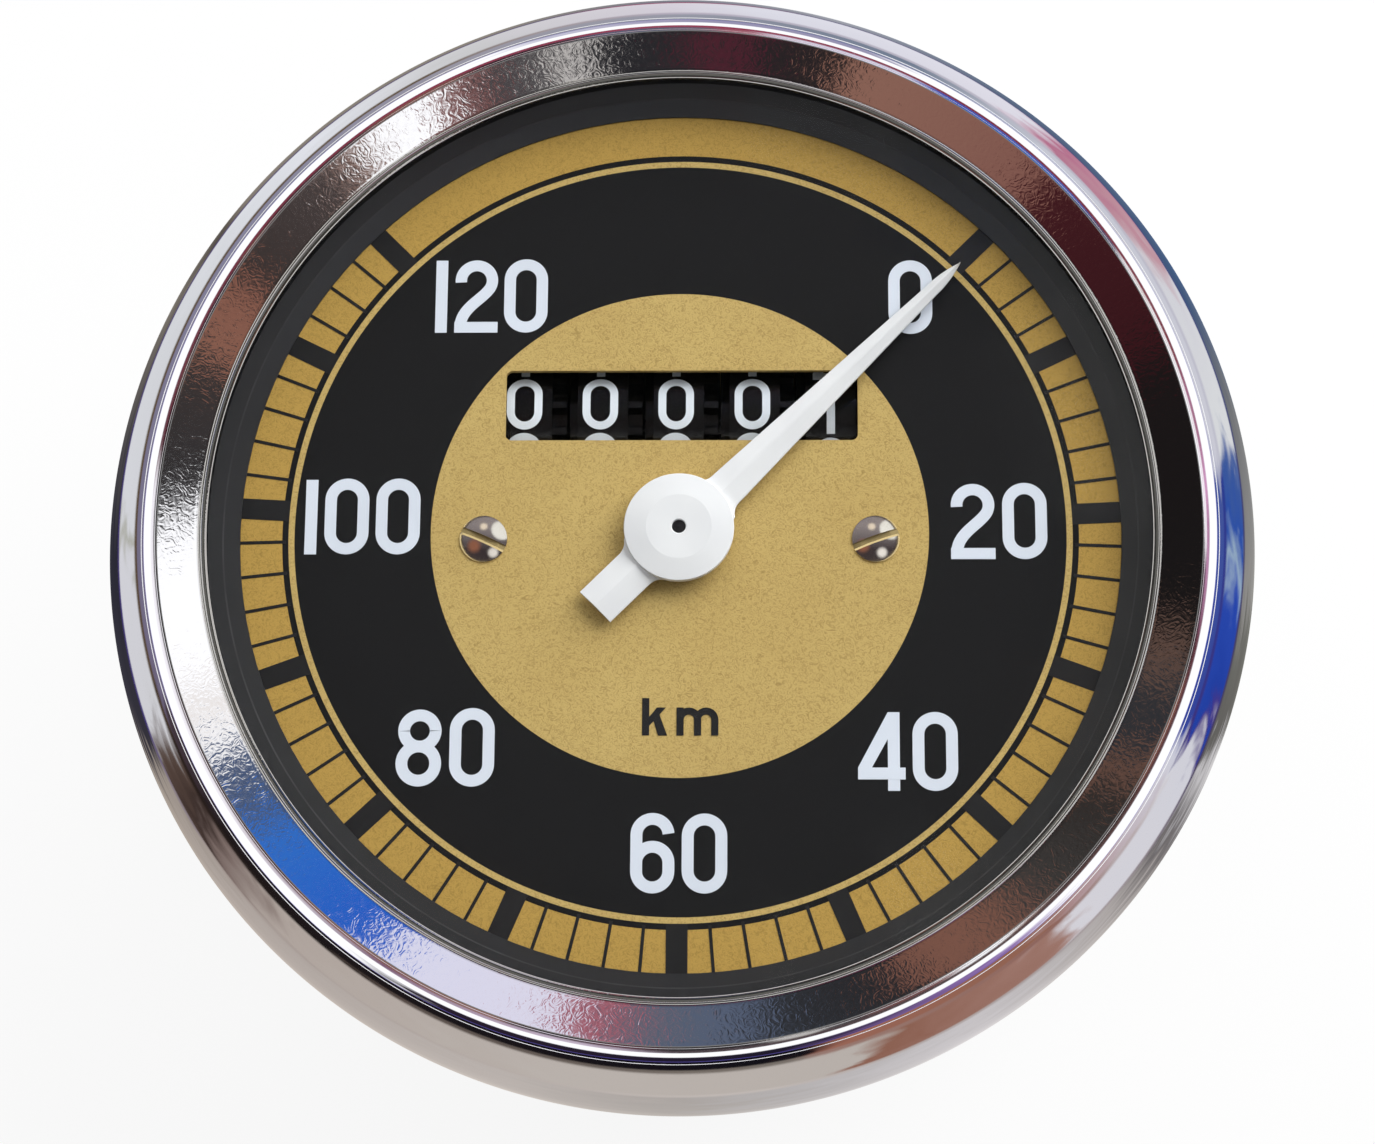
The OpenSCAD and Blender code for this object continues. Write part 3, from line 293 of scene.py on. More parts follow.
def moulded(name, colour, roughness, grain_mm=0.4, depth_mm=0.004, tone=0.1):
    """Plastic, rubber or paint: an even colour with a soft change of tone and a fine skin."""
    f = Finish(name, colour, roughness)
    f.set("Specular IOR Level", 0.25)
    skin = f.noise(grain_mm, 3)
    cloud = f.noise(9, 2)
    darker = tuple(c * (1 - tone) for c in colour)
    f.set("Base Color", f.mix(f.spread(cloud, 0, 1), linear(colour), linear(darker)))
    f.set("Roughness", f.spread(skin, roughness * 0.8, roughness * 1.2))
    f.bump(skin, depth_mm)
    return f.material


# %% [markdown]
# ## Bezel
# On the real instrument the bezel is one spun brass sheet, nickel and chrome plated: a straight
# side that is rolled round the case flange, a shoulder, a groove, a raised bead as its crest, a
# shallow dish and a small rolled lip on the glass. A lathe of the outline gives exactly that.
# The dish has the faint orange-peel waves of spun sheet under chrome.

# %% Chrome
chrome = Finish("chrome_plate", (208, 208, 211), 0.045, 1.0)
radius = chrome.from_axis()
in_dish = chrome.spread(radius, 1, 0.05, 39.0 * MM, 39.5 * MM)
waves = chrome.noise(0.9, 1, distortion=3.0)
specks = chrome.noise(0.3, 2)
height = chrome.maths("MULTIPLY", chrome.maths("MULTIPLY_ADD", specks, 0.1, waves), in_dish)
chrome.bump(height, 0.0032)
on_lip = chrome.spread(radius, 1, 0, 36.3 * MM, 36.5 * MM)
chrome.set("Base Color", chrome.mix(on_lip, linear((208, 208, 211)), linear((158, 157, 154))))
chrome.set("Roughness", chrome.spread(specks, 0.03, 0.06))

# %% Bezel outline
# Points are (radius, height) in millimetres, from the foot over the crest to the lip on the glass,
# and back along the inner side of the sheet.
lip_z = glass_z + 0.45
crest_z = high("bezel_ring")[2] - 0.1
crest_r = 39.4
lip_r = 35.7
shoulder = (43.05, 4.85)
edge = bend((bezel_r, 1.9), (bezel_r, 2.9), (43.64, 4.04), shoulder, 16)
flank = bend(shoulder, (42.54, 5.53), (41.31, 6.72), (40.62, 7.22), 18)
skin = np.concatenate([
    [[42.1, 1.5], [43.55, 1.5]],
    arc((bezel_r - 0.4, 1.9), 0.4, -80, 0, 6)[:-1],
    edge, flank[1:], [[40.58, 7.2]],
    arc((crest_r - 0.2, crest_z - 2.04), 2.1, 54, 73, 20),
    arc((crest_r, crest_z - 0.45), 0.45, 75, 102, 8),
    np.linspace([39.1, crest_z - 0.05], [36.45, lip_z + 0.12], 12),
    arc((36.2, lip_z - 0.03), 0.18, 38, 118, 8),
    [[36.06, lip_z + 0.05], [35.92, lip_z + 0.036], [35.9, lip_z - 0.02], [35.87, lip_z + 0.03],
     [lip_r + 0.05, lip_z + 0.016], [lip_r + 0.01, lip_z - 0.02], [lip_r, lip_z - 0.12],
     [lip_r, glass_z + 0.05], [lip_r + 0.05, glass_z + 0.01]],
    [[38.6, glass_z + 0.01], [39.2, crest_z - 0.55], [39.8, crest_z - 0.6], [40.2, crest_z - 0.85],
     [40.85, glass_z - 0.3], [42.7, 4.2], [43.3, 3.3], [43.5, 2.6], [43.5, 2.0], [41.9, 2.0],
     [41.9, 1.6]]])
bezel = lathe("bezel_skin", skin, 480, sharp=38)
dress(bezel, "root", "chrome_plate", chrome.material, "bezel_ring")

# %% [markdown]
# ## Studio
# The photograph is a cut-out on white, taken in a bright room. A pale floor stands under the
# instrument. White comes from what the camera and mirror-like surfaces see, while two large soft
# lamps and a plain sky light the object so that a colour renders about as it is written. The
# floor's underside is see-through, so that the back of the instrument can be looked at.

# %% Floor
floor_half, floor_gap = 3000.0, 0.05
direct_white = 0.9


def seen_directly(tree):
    """1 for what the camera sees, straight, in a mirror or through glass; 0 for light on its way."""
    ray = tree.nodes.new("ShaderNodeLightPath")
    seen = ray.outputs["Is Camera Ray"]
    for kind in ("Is Glossy Ray", "Is Transmission Ray"):
        either = tree.nodes.new("ShaderNodeMath")
        either.operation = "MAXIMUM"
        tree.links.new(seen, either.inputs[0])
        tree.links.new(ray.outputs[kind], either.inputs[1])
        seen = either.outputs[0]
    return seen


corners = np.array([[-1, -1], [1, -1], [1, 1], [-1, 1]]) * floor_half
floor = add_mesh("floor", np.column_stack([corners, np.full(4, floor_z - floor_gap)]), [(0, 1, 2, 3)])
paper = Finish("paper", (0, 0, 0), 0.9)
paper.set("Base Color", (0.92, 0.92, 0.92, 1))
glow = paper.node("ShaderNodeEmission")
share = paper.maths("MULTIPLY", seen_directly(paper.tree), direct_white)
upper = paper.blend(share, paper.shader.outputs[0], glow.outputs[0])
underside = paper.node("ShaderNodeNewGeometry").outputs["Backfacing"]
see_through = paper.node("ShaderNodeBsdfTransparent").outputs[0]
paper.put(paper.blend(underside, upper, see_through), paper.surface)
floor.data.materials.append(paper.material)

# %% Sky and lamps
sky_light, lamp_size = 0.25, 900
world = bpy.data.worlds.new("sky")
world.use_nodes = True
bpy.context.scene.world = world
sky = world.node_tree
background = sky.nodes["Background"]
background.inputs["Color"].default_value = (1, 1, 1, 1)
sky_level = sky.nodes.new("ShaderNodeMapRange")
sky_level.inputs["To Min"].default_value = sky_light
sky_level.inputs["To Max"].default_value = 1.0
sky.links.new(seen_directly(sky), sky_level.inputs["Value"])
sky.links.new(sky_level.outputs[0], background.inputs["Strength"])


def soft_lamp(name, place_mm, watts):
    """A square area lamp that faces the dial."""
    data = bpy.data.lights.new(name, "AREA")
    data.size = lamp_size * MM
    data.energy = watts
    lamp = bpy.data.objects.new(name, data)
    lamp.location = Vector(place_mm) * MM
    lamp.rotation_euler = lamp.location.to_track_quat("Z", "Y").to_euler()
    lamp.visible_glossy = False
    bpy.context.scene.collection.objects.link(lamp)


soft_lamp("window_lamp", (600, 540, 500), 13.9)
soft_lamp("room_lamp", (-260, 680, 600), 3.25)
bpy.context.scene.view_settings.view_transform = "Standard"

# %% [markdown]
# ## What the chrome sees
# Chrome has no colour of its own: it shows the room. A round tent, seen only by mirror-like
# surfaces, stands for that room: bright windows, a blue and a brown patch, a dark ceiling. Its
# paint is laid out as a chart. The direction halfway between a ray and the camera is the lean of
# the mirror that shows it, so rings of the chart are parts of the bezel's outline, and the angle
# round it is the hour on the bezel.

# %% Reflection tent
tent_r, room_light = 1500.0, 1.6
up_angle = np.radians(np.linspace(0, 180, 37))
tent_outline = tent_r * np.stack([np.sin(up_angle), np.cos(up_angle)], 1)
tent = lathe("tent", tent_outline, 48, closed=False)
chart = Finish("room", (0, 0, 0), 1.0)
chart.set("Specular IOR Level", 0.0)
parts = chart.node("ShaderNodeSeparateXYZ")
chart.put(chart.mirror_lean(), parts.inputs[0])
lean = chart.maths("DEGREES", chart.maths("ARCCOSINE", parts.outputs["Z"]))
hour_angle = chart.maths("ARCTAN2", parts.outputs["X"], parts.outputs["Y"])
turn_share = chart.maths("DIVIDE", hour_angle, 2 * math.pi)
wobble = chart.noise(260, 3, distortion=1.0)
turn_share = chart.maths("ADD", turn_share, chart.spread(wobble, -0.011, 0.011))


def only_mirrors(piece):
    """Hides a tent from all but mirror-like surfaces."""
    for flag in ("visible_camera", "visible_diffuse", "visible_transmission", "visible_shadow"):
        setattr(piece, flag, False)


def wheel(stops, opposite=False):
    """Colours round the clock from pairs of hour and colour. The dish leans inwards, so its
    colours stand on the opposite side."""
    shifted = chart.maths("ADD", turn_share, 0.5 if opposite else 0.0)
    around = chart.maths("FLOORED_MODULO", shifted, 1.0)
    ramp = chart.node("ShaderNodeValToRGB")
    chart.put(around, ramp.inputs["Fac"])
    stops = [*stops, (12, stops[0][1])]
    for hour, _ in stops[2:]:
        ramp.color_ramp.elements.new(hour / 12)
    for element, (hour, colour) in zip(ramp.color_ramp.elements, stops):
        element.position = hour / 12
        element.color = linear(colour)
    return ramp.outputs["Color"]


def ring(inside, start, soft, outside):
    """Chart colour: inside below the lean start, outside above it."""
    share = chart.spread(lean, 0, 1, start - soft / 2, start + soft / 2)
    return chart.mix(share, inside, outside)


# %% Colours round the bezel
right_dish = wheel([
    (0, (38, 38, 40)), (0.16, (74, 34, 44)), (0.3, (74, 34, 44)), (0.36, (38, 34, 36)),
    (0.64, (40, 34, 34)), (0.7, (136, 98, 84)), (1.4, (126, 86, 76)), (1.56, (62, 26, 30)),
    (2.35, (54, 22, 26)), (2.5, (26, 22, 22)), (3.45, (24, 22, 22)), (3.58, (98, 76, 66)),
    (3.72, (46, 47, 50)), (3.95, (46, 47, 50)), (4.08, (104, 76, 64)), (4.25, (44, 40, 38)),
    (4.6, (58, 56, 54)), (4.85, (122, 84, 70)), (5.1, (116, 80, 68)), (5.2, (38, 38, 40)),
    (5.6, (46, 48, 52)), (5.78, (84, 94, 114))], True)
left_dish = wheel([
    (0, (38, 38, 40)), (5.98, (84, 94, 110)), (6.12, (104, 96, 108)), (6.18, (156, 88, 100)),
    (6.3, (160, 100, 112)), (6.36, (216, 212, 226)), (6.96, (214, 214, 232)), (7.02, (38, 88, 186)),
    (7.6, (48, 108, 192)), (7.74, (70, 86, 116)), (7.94, (74, 86, 112)), (8.0, (255, 255, 255)),
    (8.2, (226, 220, 214)), (8.28, (255, 255, 255)), (8.97, (255, 255, 255)), (9.02, (46, 45, 46)),
    (9.6, (58, 52, 50)), (9.67, (136, 94, 78)), (9.96, (128, 86, 72)), (10.04, (54, 48, 46)),
    (10.5, (70, 62, 60)), (10.64, (136, 110, 100)), (10.7, (255, 255, 255)), (10.98, (255, 255, 255)),
    (11.03, (128, 82, 80)), (11.2, (104, 76, 74)), (11.3, (66, 62, 64)), (11.5, (88, 86, 86)),
    (11.54, (194, 190, 184)), (11.64, (186, 182, 178)), (11.7, (40, 39, 42))], True)
black, white_light = (0, 0, 0), (255, 255, 255)
is_left = wheel([(0, black), (5.9, black), (5.95, white_light), (11.9, white_light)], True)
dish_colours = chart.mix(is_left, right_dish, left_dish)
crest_side = wheel([
    (0, (150, 146, 172)), (0.7, (150, 146, 172)), (1.0, (255, 255, 255)), (4.4, (255, 255, 255)),
    (4.8, (140, 110, 170)), (5.6, (30, 26, 42)), (6.9, (40, 30, 44)), (7.2, (255, 255, 255)),
    (11.2, (255, 255, 255)), (11.5, (190, 188, 206))])
foot_colours = wheel([
    (0, (148, 150, 160)), (0.8, (110, 122, 140)), (1.5, (196, 198, 206)), (2.7, (200, 200, 208)),
    (2.85, (66, 84, 150)), (3.7, (50, 66, 150)), (3.85, (206, 206, 214)), (4.5, (170, 140, 140)),
    (4.7, (142, 98, 80)), (5.45, (150, 100, 84)), (5.65, (18, 16, 22)), (7.8, (30, 24, 24)),
    (8.2, (66, 54, 60)), (8.4, (108, 100, 122)), (10, (128, 126, 148)), (11.2, (150, 148, 158))])
flank_line = wheel([
    (0, (176, 170, 182)), (2.7, (190, 190, 200)), (2.85, (40, 60, 140)), (3.75, (60, 50, 120)),
    (3.85, (214, 214, 218)), (4.6, (140, 100, 90)), (5.5, (150, 120, 110)), (5.65, (120, 112, 104)),
    (7.1, (80, 68, 62)), (7.25, (24, 20, 20)), (8.2, (44, 34, 30)), (8.4, (84, 68, 52)),
    (11.0, (96, 80, 62)), (11.4, (150, 140, 140))])
flank_colours = wheel([
    (0, (206, 200, 208)), (0.25, (212, 212, 220)), (1.3, (216, 214, 222)), (1.5, (176, 110, 136)),
    (1.9, (186, 142, 152)), (2.12, (206, 206, 210)), (2.7, (212, 214, 214)), (2.82, (60, 88, 150)),
    (3.05, (44, 78, 160)), (3.2, (150, 172, 190)), (3.34, (40, 70, 166)), (3.7, (34, 62, 156)),
    (3.77, (72, 50, 120)), (3.84, (206, 206, 212)), (4.5, (210, 208, 212)), (4.66, (156, 118, 106)),
    (5.3, (138, 96, 80)), (5.44, (182, 174, 166)), (6.4, (184, 176, 168)), (7.4, (174, 163, 154)),
    (7.75, (120, 104, 98)), (7.9, (58, 46, 42)), (8.15, (84, 68, 60)), (8.3, (204, 204, 206)),
    (8.85, (206, 206, 210)), (8.95, (170, 170, 160)), (9.05, (208, 209, 212)), (9.7, (206, 208, 210)),
    (10.5, (218, 220, 224)), (11.2, (196, 196, 196))])
edge_colours = wheel([
    (0, (116, 116, 126)), (0.6, (146, 148, 156)), (1.2, (84, 98, 120)), (2.2, (62, 84, 118)),
    (2.6, (108, 110, 112)), (3.2, (140, 138, 134)), (3.35, (104, 104, 98)), (3.7, (96, 94, 90)),
    (3.82, (196, 194, 194)), (4.1, (100, 96, 96)), (4.4, (170, 164, 160)), (5.0, (198, 194, 194)),
    (5.6, (180, 176, 174)), (6.0, (170, 164, 158)), (6.6, (184, 176, 169)), (7.6, (172, 162, 154)),
    (8.1, (152, 142, 132)), (8.26, (52, 50, 58)), (8.9, (40, 40, 50)), (9.3, (66, 64, 66)),
    (9.8, (112, 106, 98)), (10.05, (76, 70, 64)), (10.2, (122, 115, 106)), (11.3, (128, 122, 114))])
edge_line = wheel([
    (0, (150, 60, 90)), (0.4, (96, 90, 120)), (2.2, (60, 70, 120)), (3.8, (70, 60, 90)),
    (4.4, (160, 150, 150)), (5.8, (192, 184, 177)), (7.9, (160, 148, 140)), (8.3, (64, 52, 112)),
    (11.5, (74, 60, 104))])
crest_line = wheel([
    (0, (150, 60, 84)), (1.2, (120, 48, 62)), (2.5, (120, 48, 62)), (2.9, (206, 150, 190)),
    (3.4, (96, 50, 60)), (4.2, (84, 62, 60)), (6.0, (76, 66, 70)), (6.4, (196, 180, 196)),
    (7.2, (120, 86, 110)), (7.9, (240, 236, 240)), (9.0, (240, 236, 240)), (9.15, (96, 56, 64)),
    (10.3, (120, 50, 66)), (11.4, (140, 60, 80))])

# %% Rings of the chart
# Each row ends one part of the outline, at a lean in degrees with a soft edge, and starts the next:
# level faces, dish, line, crest, its outer side, groove, foot, line, flank, line and edge.
seen = ring(linear((120, 120, 118)), 4.0, 0.6, dish_colours)
for start, soft, outside in [
        (14.5, 0.8, crest_line), (16.2, 1.2, linear((255, 255, 255))), (31, 1.5, crest_side),
        (39.9, 0.8, linear((98, 88, 176))), (40.7, 0.8, foot_colours), (44.8, 0.7, flank_line),
        (46.2, 0.8, flank_colours), (53.4, 0.7, edge_line), (54.6, 1.0, edge_colours)]:
    seen = ring(seen, start, soft, outside)
chart.set("Emission Color", seen)
chart.set("Emission Strength", room_light)
tent.data.materials.append(chart.material)
only_mirrors(tent)
floor.visible_glossy = False

# %% [markdown]
# ## Glass and the rings under it
# The flat glass lies on a rubber ring, on a black ring that stands round the dial. The glass
# is nearly unseen: light passes straight through it and only a faint reflection stays.
# The CAD glass and rings have the right shapes, so they only get their finishes.

# %% Glass, rubber and the dark ring
pane = Finish("clear_glass", (0, 0, 0), 0.5)
pane.tree.nodes.remove(pane.shader)
clear = pane.node("ShaderNodeBsdfTransparent")
clear.inputs["Color"].default_value = (0.985, 0.99, 0.988, 1)
gloss = pane.node("ShaderNodeBsdfGlossy")
gloss.inputs["Roughness"].default_value = 0.01
fresnel = pane.node("ShaderNodeFresnel")
fresnel.inputs["IOR"].default_value = 1.45
faint = pane.maths("MULTIPLY", fresnel.outputs[0], 0.05)
pane.put(pane.blend(faint, clear.outputs[0], gloss.outputs[0]), pane.surface)


def finish_nodes(material, *names):
    """Gives CAD nodes whose shape is right a new material."""
    for name in names:
        frame["nodes"][name].data.materials.clear()
        frame["nodes"][name].data.materials.append(material)


finish_nodes(pane.material, "glass")
rubber = moulded("black_rubber", (24, 24, 25), 0.6)
finish_nodes(rubber, "glass_gasket", "seal_ring")
dark_ring = Finish("dark_ring", (40, 40, 42), 0.5)
dark_ring.set("Specular IOR Level", 0.3)
away = dark_ring.from_axis()
# Painted highlight: a broken lighter line along the step between the ring's two slopes, at 34.85 mm.
step_highlight_noise = dark_ring.spread(dark_ring.noise(3, 2, (1, 1, 6)), 0.3, 1.0)
on_step = dark_ring.maths("COMPARE", away, 34.85 * MM, 0.055 * MM)
# Painted light and shade: the ring's inner face is painted lighter towards the top, where light falls on
# it, and darker towards the bottom.
up_side = dark_ring.node("ShaderNodeSeparateXYZ")
dark_ring.put(dark_ring.place, up_side.inputs[0])
painted_light_towards_top = dark_ring.spread(up_side.outputs["Y"], 0, 1, 8 * MM, 34 * MM)
inner_painted_light = dark_ring.mix(painted_light_towards_top, linear((24, 24, 26)), linear((42, 43, 46)))
# Painted shade: the band outside the step is painted darker, as the shade under the bezel's lip.
outside = dark_ring.spread(away, 0, 1, 34.8 * MM, 34.84 * MM)
tone = dark_ring.mix(outside, inner_painted_light, linear((22, 22, 24)))
# The painted highlight line along the step is mixed over the painted tones here.
step_painted_highlight = dark_ring.maths("MULTIPLY", on_step, step_highlight_noise)
dark_ring.set("Base Color", dark_ring.mix(step_painted_highlight, tone, linear((48, 48, 50))))
dark_ring.bump(dark_ring.noise(0.8, 3), 0.003)
finish_nodes(dark_ring.material, "spacer_ring")

# %% [markdown]
# ## Dial
# The real dial is a brass plate, lacquered black and printed in gold, so the print has crisp round
# edges. The CAD plate keeps its window and holes, and its finish works out the distance from the
# axis and paints gold bands with a ramp. The gold has a fine leather-like grain.

# %% Dial plate
gold_disc_r = 19.0
thin_ring = (29.52, 29.9)
scale_band = (30.35, 33.6)
band_gold_from = 30.1
ramp_end = 40.0
dial_paint = Finish("dial_lacquer", (33, 33, 33), 0.5)
dial_paint.set("Specular IOR Level", 0.12)
away = dial_paint.from_axis()
bands = dial_paint.node("ShaderNodeValToRGB")
bands.color_ramp.interpolation = "CONSTANT"
edges = [(0, 1), (gold_disc_r, 0), (thin_ring[0], 1), (thin_ring[1], 0), (scale_band[0], 1),
         (scale_band[1], 0)]
for place, value in edges[2:]:
    bands.color_ramp.elements.new(place / ramp_end)
for element, (place, value) in zip(bands.color_ramp.elements, edges):
    element.position = place / ramp_end
    element.color = (value, value, value, 1)
dial_paint.put(dial_paint.maths("DIVIDE", away, ramp_end * MM), bands.inputs["Fac"])
is_gold = bands.outputs["Color"]
grain = dial_paint.noise(0.4, 2, distortion=2.6)
cloud = dial_paint.noise(7, 3)
clouded = dial_paint.spread(cloud, 0, 1)
disc_gold = dial_paint.mix(clouded, linear((203, 175, 110)), linear((197, 168, 104)))
on_band = dial_paint.maths("GREATER_THAN", away, band_gold_from * MM)
gold = dial_paint.mix(on_band, disc_gold, linear((188, 152, 78)))
gold = dial_paint.mix(dial_paint.spread(grain, 0.5, 0, 0.3, 0.54), gold, linear((132, 104, 52)))
dial_paint.set("Base Color", dial_paint.mix(is_gold, linear((24, 24, 25)), gold))
dial_paint.set("Roughness", dial_paint.spread(grain, 0.45, 0.6))
rough_share = dial_paint.maths("MULTIPLY_ADD", is_gold, 0.8, 0.2)
dial_paint.bump(dial_paint.maths("MULTIPLY", grain, rough_share), 0.02)
finish_nodes(dial_paint.material, "dial")

# %% [markdown]
# ## Print on the dial
# The marks and figures are ink with a slight thickness. A stroke is a flat rectangle carried
# along a line: at each point of the line the rectangle stands square to the line's direction.
# Figures of this old signwriter's kind are built only from straight lines and round bends.

# %% Strokes
ink = 0.03


def ribbon(left, right, closed=False):
    """Block of (points, faces): a flat band between two edge lines, with ink's thickness."""
    rim = np.stack([left, right, right, left], 1)
    heights = np.broadcast_to([0.0, 0.0, ink, ink], rim.shape[:2])
    points = np.concatenate([rim, heights[..., None]], 2).reshape(-1, 3)
    faces = grid_faces(len(left), 4, closed, True)
    if not closed:
        last = 4 * (len(left) - 1)
        faces += [(3, 2, 1, 0), (last, last + 1, last + 2, last + 3)]
    return points, faces


def finer(line, spacing=0.35):
    """The same line with points no further apart than spacing, so that it can be bent."""
    line = np.asarray(line, float)
    parts = [line[:1]]
    for a, b in zip(line[:-1], line[1:]):
        steps = max(1, math.ceil(np.linalg.norm(b - a) / spacing))
        parts.append(a + (b - a) * np.linspace(0, 1, steps + 1)[1:, None])
    return np.concatenate(parts)


def stroke(line, width, closed=False):
    """Band of even width along a line: its edges are line + and - width / 2 times its normal."""
    line = np.asarray(line, float)
    if closed:
        line = finer(np.concatenate([line, line[:1]]))[:-1]
        along = np.roll(line, -1, 0) - np.roll(line, 1, 0)
    else:
        line = finer(line)
        along = np.gradient(line, axis=0)
    along /= np.linalg.norm(along, axis=1, keepdims=True)
    side = np.stack([-along[:, 1], along[:, 0]], 1) * width / 2
    return ribbon(line + side, line - side, closed)


def plate(left_low, right_low, right_high, left_high, steps=14):
    """Four-cornered band from its low edge to its high edge."""
    t = np.linspace(0, 1, steps + 1)[:, None]
    left = np.array(left_low) * (1 - t) + np.array(left_high) * t
    right = np.array(right_low) * (1 - t) + np.array(right_high) * t
    return ribbon(left, right)


def moved(blocks, x, y, size=1.0):
    """Blocks drawn at another place and size."""
    return [(points * [size, size, 1] + [x, y, 0], faces) for points, faces in blocks]


def layered(blocks):
    """Lifts each block a hair above the last, so that where two cross, their tops don't meet."""
    return [(points + [0, 0, 0.004 * (k % 6)], faces) for k, (points, faces) in enumerate(blocks)]


def join(blocks):
    """One list of points and one of faces from many blocks."""
    starts = np.cumsum([0] + [len(points) for points, _ in blocks])
    faces = [tuple(int(k + start) for k in face)
             for (_, some), start in zip(blocks, starts) for face in some]
    return np.concatenate([points for points, _ in blocks]), faces


# %% Figures
figure_h = 5.9
pen = 0.89


def loop(x0, x1, y0, y1):
    """Closed stroke inside a box, straight at the sides and round at both ends."""
    r = (x1 - x0 - pen) / 2
    middle = (x0 + x1) / 2
    top = arc((middle, y1 - pen / 2 - r), r, 0, 180, 20)
    bottom = arc((middle, y0 + pen / 2 + r), r, 180, 360, 20)
    return stroke(np.concatenate([top, bottom]), pen, closed=True)


def figure(sign):
    """Blocks of one figure, with its lower left corner at the origin."""
    if sign == "0":
        return [loop(0, 3.4, 0, figure_h + 0.1)]
    if sign == "1":
        return [plate((0, 0), (0.92, 0), (0.92, figure_h), (0, figure_h))]
    if sign == "2":
        top = arc((1.69, figure_h - pen / 2 - 1.2), 1.22, 187, -33, 24)
        foot = bend(top[-1], top[-1] + [-0.7, -1.0], (0.45, 2.0), (0.45, 0.42))
        return [stroke(np.concatenate([top, foot[1:]]), pen),
                plate((0, 0), (3.38, 0), (3.38, 0.87), (0, 0.87))]
    if sign == "3":
        upper = arc((1.65, 4.27), 1.18, 172, -84, 24)
        lower = arc((1.65, 1.7), 1.25, 84, -172, 24)
        return [stroke(upper, pen), stroke(lower, pen)]
    if sign == "4":
        top = figure_h + 0.08
        return [plate((2.24, 0), (3.14, 0), (3.14, top), (2.24, top)),
                plate((0, 1.76), (1.04, 1.76), (2.26, 3.96), (2.26, top)),
                plate((0, 0.86), (3.56, 0.86), (3.56, 1.76), (0, 1.76))]
    if sign == "5":
        return [plate((0.25, 5.03), (3.1, 5.03), (3.1, figure_h), (0.25, figure_h)),
                plate((0.25, 2.9), (1.1, 3.1), (1.1, 5.1), (0.25, 5.1)),
                stroke(arc((1.6, 1.75), 1.3, 118, -170, 26), pen)]
    if sign in "69":
        hook = np.concatenate([arc((1.65, 4.39), 1.2, 4, 180, 20), [(0.45, 1.65)]])
        blocks = [loop(0, 3.3, 0, 3.94), stroke(hook, pen)]
        if sign == "9":
            blocks = [(points * [-1, -1, 1] + [3.3, 6.04, 0], faces) for points, faces in blocks]
        return blocks
    if sign == "7":
        return [plate((0, 5.0), (3.3, 5.0), (3.3, figure_h), (0, figure_h)),
                plate((1.0, 0), (1.95, 0), (3.3, 5.05), (2.35, 5.05))]
    return [loop(0.14, 3.42, 2.6, 5.88), loop(0, 3.44, 0, 3.5)]


# %% Print
# The scale runs over 270 degrees from 1:30 o'clock. Its first marks stand a little late, by a bump
# of 0.55 degrees about the eighth mark, as measured in the photograph.
scale_marks = 58
mark = np.arange(scale_marks + 1)
mark_angle = 45 + 270 * mark / scale_marks + 0.55 * np.exp(-((mark - 8) / 4.5) ** 2)
is_bar = (mark % 5 == 4) | (mark == 0) | (mark == scale_marks)


def radial(angle, inner, outer, width):
    """Straight mark along a ray at a compass angle."""
    ray = np.array([math.sin(math.radians(angle)), math.cos(math.radians(angle))])
    return stroke([ray * inner, ray * outer], width)


mark_end = 33.95
scale = [radial(a, 30.0, mark_end, 1.62) if bar else radial(a, 30.2, mark_end, 0.25)
         for a, bar in zip(mark_angle, is_bar)]


def printed(name, blocks, material):
    """Print lies on the dial's face: the blocks are lifted to its height."""
    points, faces = join(blocks)
    dress(add_mesh(name, points + [0, 0, dial_z], faces), "root", "dial_black", material)


black_ink = moulded("black_ink", (30, 30, 31), 0.45, 0.3, 0.002)
white_ink = moulded("white_ink", (226, 232, 244), 0.4, 0.3, 0.002, tone=0.03)
printed("scale_marks", scale, black_ink)
figures = {
    "0": (16.14, 15.78, [0]), "20": (20.72, -2.18, [0, 3.94]), "40": (13.52, -20.01, [0, 4.1]),
    "60": (-3.51, -27.75, [0, 3.84]), "80": (-21.27, -19.75, [0, 4.04]),
    "100": (-28.75, -1.8, [0, 1.5, 5.44]), "120": (-19.15, 15.95, [0, 1.5, 5.36])}
blocks = []
for signs, (x, y, steps) in figures.items():
    for sign, step in zip(signs, steps):
        blocks += layered(moved(figure(sign), x + step, y))
printed("figures", blocks, white_ink)

# %% [markdown]
# The two small letters in the gold disc are black. The k has a stem, an arm and a leg, and the
# m is a stem with two round arches.

# %% Letters
letter_pen = 0.54
arch_r = 0.66
base_y = -15.83
x_height = -13.69
letters = [plate((-2.72, base_y), (-2.18, base_y), (-2.18, -12.97), (-2.72, -12.97)),
           plate((-2.2, -15.12), (-2.2, -14.42), (-1.6, x_height), (-0.92, x_height)),
           plate((-1.52, base_y), (-0.82, base_y), (-1.42, -14.2), (-1.88, -14.62)),
           plate((-0.12, base_y), (0.42, base_y), (0.42, x_height), (-0.12, x_height))]
for stem in (1.47, 2.77):
    bow = arc((stem - arch_r, x_height - letter_pen / 2 - arch_r), arch_r, 180, 0, 18)
    letters.append(stroke(np.concatenate([bow, [(stem, base_y)]]), letter_pen))
printed("letters", layered(letters), black_ink)

# %% [markdown]
# ## Pointer
# The pointer is white plastic: a long arm with a low ridge, a square tail, and a cap with a soft
# bevel. The blade is one loft. At each place along it, a roof-shaped section is as wide as the
# arm is there, and small fillets widen it where it meets the hub.

